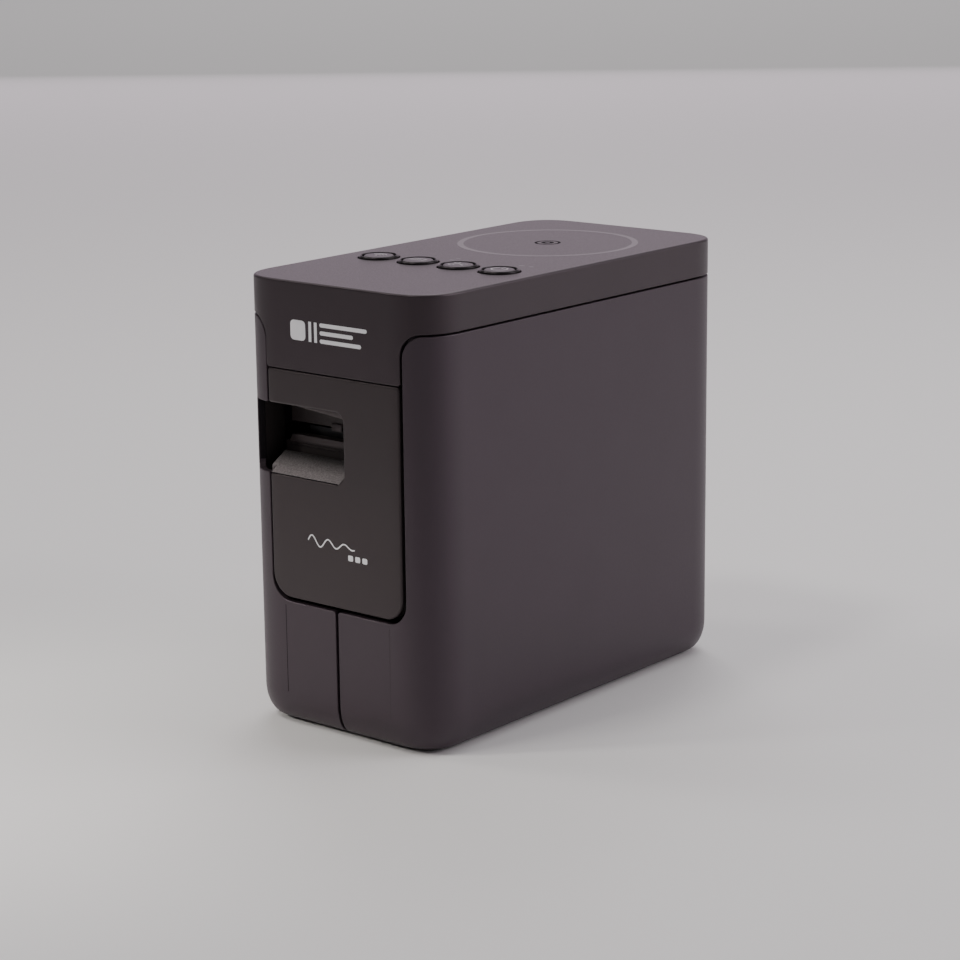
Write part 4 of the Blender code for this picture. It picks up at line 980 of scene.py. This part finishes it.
def make_exit():
    """Grained ramp under the exit with painted shade towards its back, the bar that the label slides over,
    and the dark walls round them, with pieces of painted shade behind the slot, under the ramp's lip and on
    the door's notch.
    """
    wing_left, ramp_left, guard_left, right = -28.4, -26.3, -32.7, 3.9
    front, rear = -73.6, -60.0
    lip, slope_end, ramp_back, wing_front = (-75.75, 82.0), (-67.4, 87.0), (-66.9, 87.0), -73.2
    outline = [lip, slope_end, ramp_back, (-66.9, 84.6), (-64.4, 84.6), (-64.4, 79.2), (-73.4, 79.2),
               (-73.4, 81.6), (-75.75, 81.74)]
    ramp = prism_mesh("exit_ramp", outline, "X", (ramp_left, EXIT_RIGHT - 0.4), RAMP, "case", 0.12)
    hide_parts("exit_chute")
    outline = [(wing_front, 83.38), slope_end, ramp_back, (-66.9, 80.0), (wing_front, 80.0)]
    wing = prism_mesh("exit_ramp_wing", outline, "X", (wing_left, ramp_left), RAMP, "case", 0.08)
    outline = [(-30.4, 89.0), (right, 89.0), (right, 91.4), (-29.2, 91.4)]
    bar = prism_mesh("exit_bar", outline, "Y", (-63.0, -59.4), BAR, "case", 0.25)
    pieces = {
        # The bar's foot and the plate behind the slot carry painted shade, for the shade deep inside the
        # exit.
        "exit_bar_foot": ((guard_left, -62.2, 79.3), (right, -59.5, 88.9), SHADE),
        "slot_shade_plate": ((guard_left, -59.3, 94.6), (right, -58.9, 104.5), SHADE),
        "exit_bar_ledge": ((-29.9, -62.75, 87.95), (right, -62.1, 88.2), BAR),
        "cutter_guard": ((-15.2, -59.9, 93.5), (-11.0, -59.2, 95.9), BAR),
        "exit_right_wall": ((EXIT_RIGHT + 0.3, front, 80.0), (EXIT_RIGHT + 0.9, rear, 104.5), DARK_INNER),
        # Painted shadow: a near-black strip under the ramp's lip, for the thin dark line of shade there.
        "exit_lip_painted_shadow": ((-26.0, -75.85, 81.48), (1.3, -74.6, 81.76), DARK_PRINT_AND_SHADE),
        "exit_roof": ((-28.6, front, 104.6), (EXIT_RIGHT + 0.9, rear, 105.4), DARK_INNER),
        "fixed_blade_edge": ((-25.8, -57.3, 93.2), (-19.3, -56.8, 93.5), DARK_STEEL),
    }
    made = [block(name, low, high, surface, "case", 0.08) for name, (low, high, surface) in pieces.items()]
    outline = [(-21.0, 103.8), (3.6, 101.7), (4.2, 102.4), (4.2, 104.5), (-21.0, 104.5)]
    lintel = prism_mesh("exit_lintel", outline, "Y", (front, -72.2), BAR, "case", 0.15)
    wall = block("door_exit_wall", (-34.4, -70.9, 80.4), (-33.6, -61.5, 105.6), DARK_INNER, "door", 0.25)
    # Painted shade: a near-black sheet over the thickness of the door's notch wall, which lies in the panel's
    # shade.
    outline = [notch_edge(0.35, 0.12), notch_edge(2.4, 0.12), notch_edge(2.4, -0.25), notch_edge(0.35, -0.25)]
    span = (EXIT_LOW + 2.4, EXIT_HIGH - 0.6)
    liner = prism_mesh("door_notch_painted_shade", outline, "Z", span, DARK_PRINT_AND_SHADE, "door", 0.06)


def notch_edge(depth, past):
    """A spot (x, y) on the edge of the door's notch, at a depth in its wall, moved past it into the notch."""
    height, step = 93.0, 0.1
    notch = round_from(NOTCH_X)
    here = side_surface((notch, height), depth)[0]
    ahead = side_surface((notch + step, height), 0)[0] - side_surface((notch, height), 0)[0]
    return tuple((here + ahead / np.linalg.norm(ahead) * past)[:2])


# ---------------------------------------------------------------- hinge, latch and bosses

def make_hinge():
    """The channel that the door's knuckles run in, both sets of knuckles, and the door's latch hooks."""
    side, rear = SHELL_BACK_X + 0.2, BACK_Y - 0.5
    liner = [(side, rear), (side, 68.8), (-9.5, 68.8), (-9.5, 67.0), (side + 2, 67.0), (side + 2, rear)]
    channel = prism_mesh("hinge_channel", liner, "Z", (3.6, SHELL_TOP), INNER_BLACK, "case", 0.2)
    for level, z in {"lower": 28.0, "upper": 104.0}.items():
        for place, low, high, body in (("below", z - 12, z - 4, "case"), ("middle", z - 3.7, z + 3.7, "door"),
                                       ("above", z + 4, z + 12, "case")):
            turned = [(KNUCKLE_R, low), (KNUCKLE_R, high), (PIN_R, high), (PIN_R, low)]
            turned = soft_profile(turned, 0.2)
            ring = lathe(f"knuckle_{level}_{place}", turned, "Z", (0, HINGE_Y), INNER_BLACK, body, 40)
            near, far = ((1.9, 70.2), (6.4, 73.2)) if body == "case" else ((-8.0, 73.2), (-1.9, 75.2))
            near, far = (*near, low + 0.1), (*far, high - 0.1)
            arm = block(f"knuckle_arm_{level}_{place}", near, far, INNER_BLACK, body)
    hook = [(-4.5, -74.5), (-1.5, -74.5), (-1.5, -69.5), (-0.9, -68.8), (-1.5, -68.0), (-2.7, -68.0),
            (-2.7, -73.0), (-4.5, -73.0)]
    for level, z in (("low", 20.0), ("high", 34.0)):
        latch = prism_mesh(f"latch_hook_{level}", hook, "Z", (z - 3, z + 3), INNER_BLACK, "door", 0.15)


def make_bosses():
    """Tubes on the right shell's inner side, which the chassis screws bite into."""
    outer, bore, start, end = 3.2, 1.3, 6.7, 37.5
    turned = soft_profile([(outer, start), (outer, end), (bore, end), (bore, start)], 0.3)
    for spot, centre in SCREW_SPOTS.items():
        boss = lathe(f"screw_boss_{spot}", turned, "X", centre, INNER_BLACK, "case", 32)


def make_seam_tongue(outer=2.7, inner=3.7, low=127.4, high=133.4):
    """Tongue under the top cover, just inside the shells, which closes the seam to light and dust."""
    shaper = bmesh.new()
    rings = []
    for inset, height in ((outer, low), (outer, high), (inner, high), (inner, low)):
        outline = level_outline(inset, -HALF_ROUND, HALF_ROUND)[:-1]
        rings.append([shaper.verts.new((*spot, height)) for spot in outline])
    for first, second in zip(rings, rings[1:] + rings[:1]):
        bridge(shaper, first, second)
    bmesh.ops.recalc_face_normals(shaper, faces=shaper.faces)
    tongue = finish_mesh(shaper, "seam_tongue", INNER_BLACK, "case")


# ---------------------------------------------------------------- tape bay

def facing_left(x):
    """A flat face that looks along -X, drawn in (y, z)."""
    def surface(spot, depth):
        return np.array((x + depth, spot[0], spot[1])), np.array((-1.0, 0.0, 0.0))
    return surface


def make_cassette_lid():
    """Lid of the tape cassette: windows over both spools, finger ridges, and a plain paper label."""
    lid = Moulding()
    face = node_box("cassette_lid")[0][0]
    (_, low_y, low_z), (_, high_y, high_z) = node_box("cassette_lid")
    step_y, step_z = -27.0, 72.0
    outline = loop([(low_y, low_z, 2.5), (high_y, low_z, 2.5), (high_y, high_z, 2.5), (step_y, high_z, 1.5),
                    (step_y, step_z, 1.5), (low_y, step_z, 2.5)], 2.0)
    windows = {"tape": (TAPE_AXIS, 14.0), "ribbon": (RIBBON_AXIS, 6.5)}
    lid.patch([outline] + [ring_of(centre, radius) for centre, radius in windows.values()], facing_left(face))
    made = lid.build("cassette_lid_moulding", CASSETTE, "case")
    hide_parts("cassette_lid")
    for name, (centre, radius) in windows.items():
        near, far, rim = face + 0.9, face + 1.6, radius + 0.2
        turned = soft_profile([(0, near), (rim, near), (rim, far), (0, far)])
        pane = lathe(f"{name}_window", turned, "X", centre, CLEAR, "case", 64)
    for i in range(4):
        low, high = (face - 0.45, 19.0, 92.2 - 1.6 * i), (face + 0.2, 28.0, 93.0 - 1.6 * i)
        block(f"cassette_ridge_{i + 1}", low, high, CASSETTE, "case", 0.25)
    label = prism_mesh("cassette_label", rounded_box((-22.0, 46.0), (28.0, 55.0), 1.2), "X",
                       (face - 0.08, face + 0.05), PAPER_LABEL, "case", 0)
    stripe = prism_mesh("cassette_label_stripe", rounded_box((-22.0, 46.0), (28.0, 48.6), 1.2), "X",
                        (face - 0.12, face), STRIPE, "case", 0)


def make_spool_hubs():
    """Toothed hubs that show through the cassette's windows."""
    x = node_box("tape_spool")[0][0]
    for name, centre, radius, bore, body in (("tape", TAPE_AXIS, 9.5, 4.4, "tape_roll"),
                                             ("ribbon", RIBBON_AXIS, 4.6, 2.4, "ribbon_drive")):
        turned = [(radius, x - 0.5), (radius, x + 0.3), (bore, x + 0.3), (bore, x - 0.5)]
        hub = lathe(f"{name}_hub", soft_profile(turned), "X", centre, GEAR, body, 48)
        for i in range(6):
            turn = pi / 3 * i
            near, end = bore + 0.5, radius - 0.5
            spoke = [(centre[0] + far * cos(turn) + side * sin(turn),
                      centre[1] + far * sin(turn) - side * cos(turn))
                     for far, side in ((near, -0.4), (end, -0.4), (end, 0.4), (near, 0.4))]
            rib = prism_mesh(f"{name}_hub_rib_{i + 1}", spoke, "X", (x - 0.9, x - 0.4), GEAR, body, 0.1)


def make_bay_ribs():
    """Stiffening ribs moulded on the upright plate behind the cassette."""
    plate = node_box("chassis")[1][0] - 1.8
    for i, z in enumerate((52.0, 66.0, 80.0, 94.0)):
        low, high = (plate - 0.9, 36.0, z), (plate + 0.1, 62.0, z + 1.4)
        rib = block(f"plate_rib_{i + 1}", low, high, INNER, "case", 0.3)


# ---------------------------------------------------------------- carried-over parts

def finish_nodes():
    """Gives every CAD node that stays its real surface, and softens the edges of those listed in SOFT_NODES.
    """
    shown = {name: node for name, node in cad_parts.items() if not node.hide_render}
    for name, node in shown.items():
        slot = node.material_slots[0].material.name.split(".")[0]
        node.material_slots[0].material = NODE_SURFACES.get(name, SLOT_SURFACES[slot])
        if name in SOFT_NODES:
            edges = node.modifiers.new("soft_edges", "BEVEL")
            edges.width = SOFT_NODES[name] * MM
            edges.segments = 2
            edges.limit_method = "ANGLE"
            edges.angle_limit = radians(40)
            edges.use_clamp_overlap = True
            edges.harden_normals = True


# ---------------------------------------------------------------- floor, light and camera

def make_floor(reach=14000):
    """A pale floor that reaches out of sight."""
    made, tree, shader = new_material("floor_paper", (0.82, 0.82, 0.81), 0.85)
    shaper = bmesh.new()
    bmesh.ops.create_grid(shaper, x_segments=2, y_segments=2, size=reach)
    floor = finish_mesh(shaper, "floor", made, None)


def add_light(name, kind, spot, target, power, colour):
    """A light that looks from one spot at another, in metres."""
    light = bpy.data.lights.new(name, kind)
    light.energy = power
    light.color = colour
    made = bpy.data.objects.new(name, light)
    made.location = spot
    made.rotation_euler = (Vector(target) - Vector(spot)).to_track_quat("-Z", "Y").to_euler()
    bpy.context.scene.collection.objects.link(made)
    return light


def add_area(name, spot, target, size, power, colour=(1.0, 1.0, 1.0)):
    light = add_light(name, "AREA", spot, target, power, colour)
    light.shape = "RECTANGLE"
    light.size, light.size_y = size


def add_spot(name, spot, target, cone, power, colour):
    light = add_light(name, "SPOT", spot, target, power, colour)
    light.spot_size = radians(cone)
    light.spot_blend = 1.0
    light.shadow_soft_size = 0.05


def set_world(colour, strength):
    world = bpy.data.worlds.new("studio")
    bpy.context.scene.world = world
    world.use_nodes = True
    background = world.node_tree.nodes["Background"]
    background.inputs["Color"].default_value = (*colour, 1.0)
    background.inputs["Strength"].default_value = strength


def set_camera():
    """The photograph's view: 13.6 degrees above the table and 39.6 degrees round from the front."""
    azimuth, elevation, roll = radians(39.64), radians(13.591), radians(-0.649)
    back = Vector((sin(azimuth) * cos(elevation), -cos(azimuth) * cos(elevation), sin(elevation)))
    level = Vector((cos(azimuth), sin(azimuth), 0))
    above = back.cross(level)
    right = level * cos(roll) + above * sin(roll)
    up = above * cos(roll) - level * sin(roll)
    place = (0.53610, -0.65295, 0.27258)
    lens = bpy.data.cameras.new("camera")
    lens.lens = 99.4
    lens.sensor_width = 36.0
    lens.clip_start = 0.01
    camera = bpy.data.objects.new("camera", lens)
    camera.matrix_world = Matrix((*zip(right, up, back, place), (0, 0, 0, 1)))
    bpy.context.scene.collection.objects.link(camera)
    bpy.context.scene.camera = camera


make_right_shell()
make_left_shell()
make_top_cover()
make_front_panel()
make_battery_cover()
make_prints()
make_keys()
make_exit()
make_hinge()
make_bosses()
make_seam_tongue()
make_cassette_lid()
make_spool_hubs()
make_bay_ribs()
finish_nodes()
make_floor()
set_world((1.0, 0.93, 0.98), 0.14)
add_area("back_left", (-1.4, 1.7, 0.7), (0, 0, 0.10), (3.0, 1.3), 7.3, (1.0, 0.80, 0.97))
add_area("back_right", (1.3, 0.9, 0.8), (0, 0, 0.10), (1.0, 1.0), 13, (1.0, 0.92, 0.98))
add_area("overhead", (0.15, 0.45, 1.1), (0.05, 0.2, 0), (0.8, 0.8), 4)
add_area("background", (-2.6, 3.4, 4.5), (-2.4, 3.2, 0), (3.0, 3.0), 125, (1.0, 0.97, 0.99))
add_area("edge_glint", (-0.25, -0.7, 1.5), (0, 0, 0.1), (0.25, 0.25), 5, (1.0, 0.95, 0.92))
add_area("sill_glint", (-1.0, -0.4, 1.25), (0, 0, 0.1), (0.3, 0.3), 3, (1.0, 0.95, 0.92))
add_spot("floor_pool", (-0.45, -0.6, 0.45), (-0.09, -0.17, -0.01), 28, 13, (1.0, 0.96, 0.90))
set_camera()
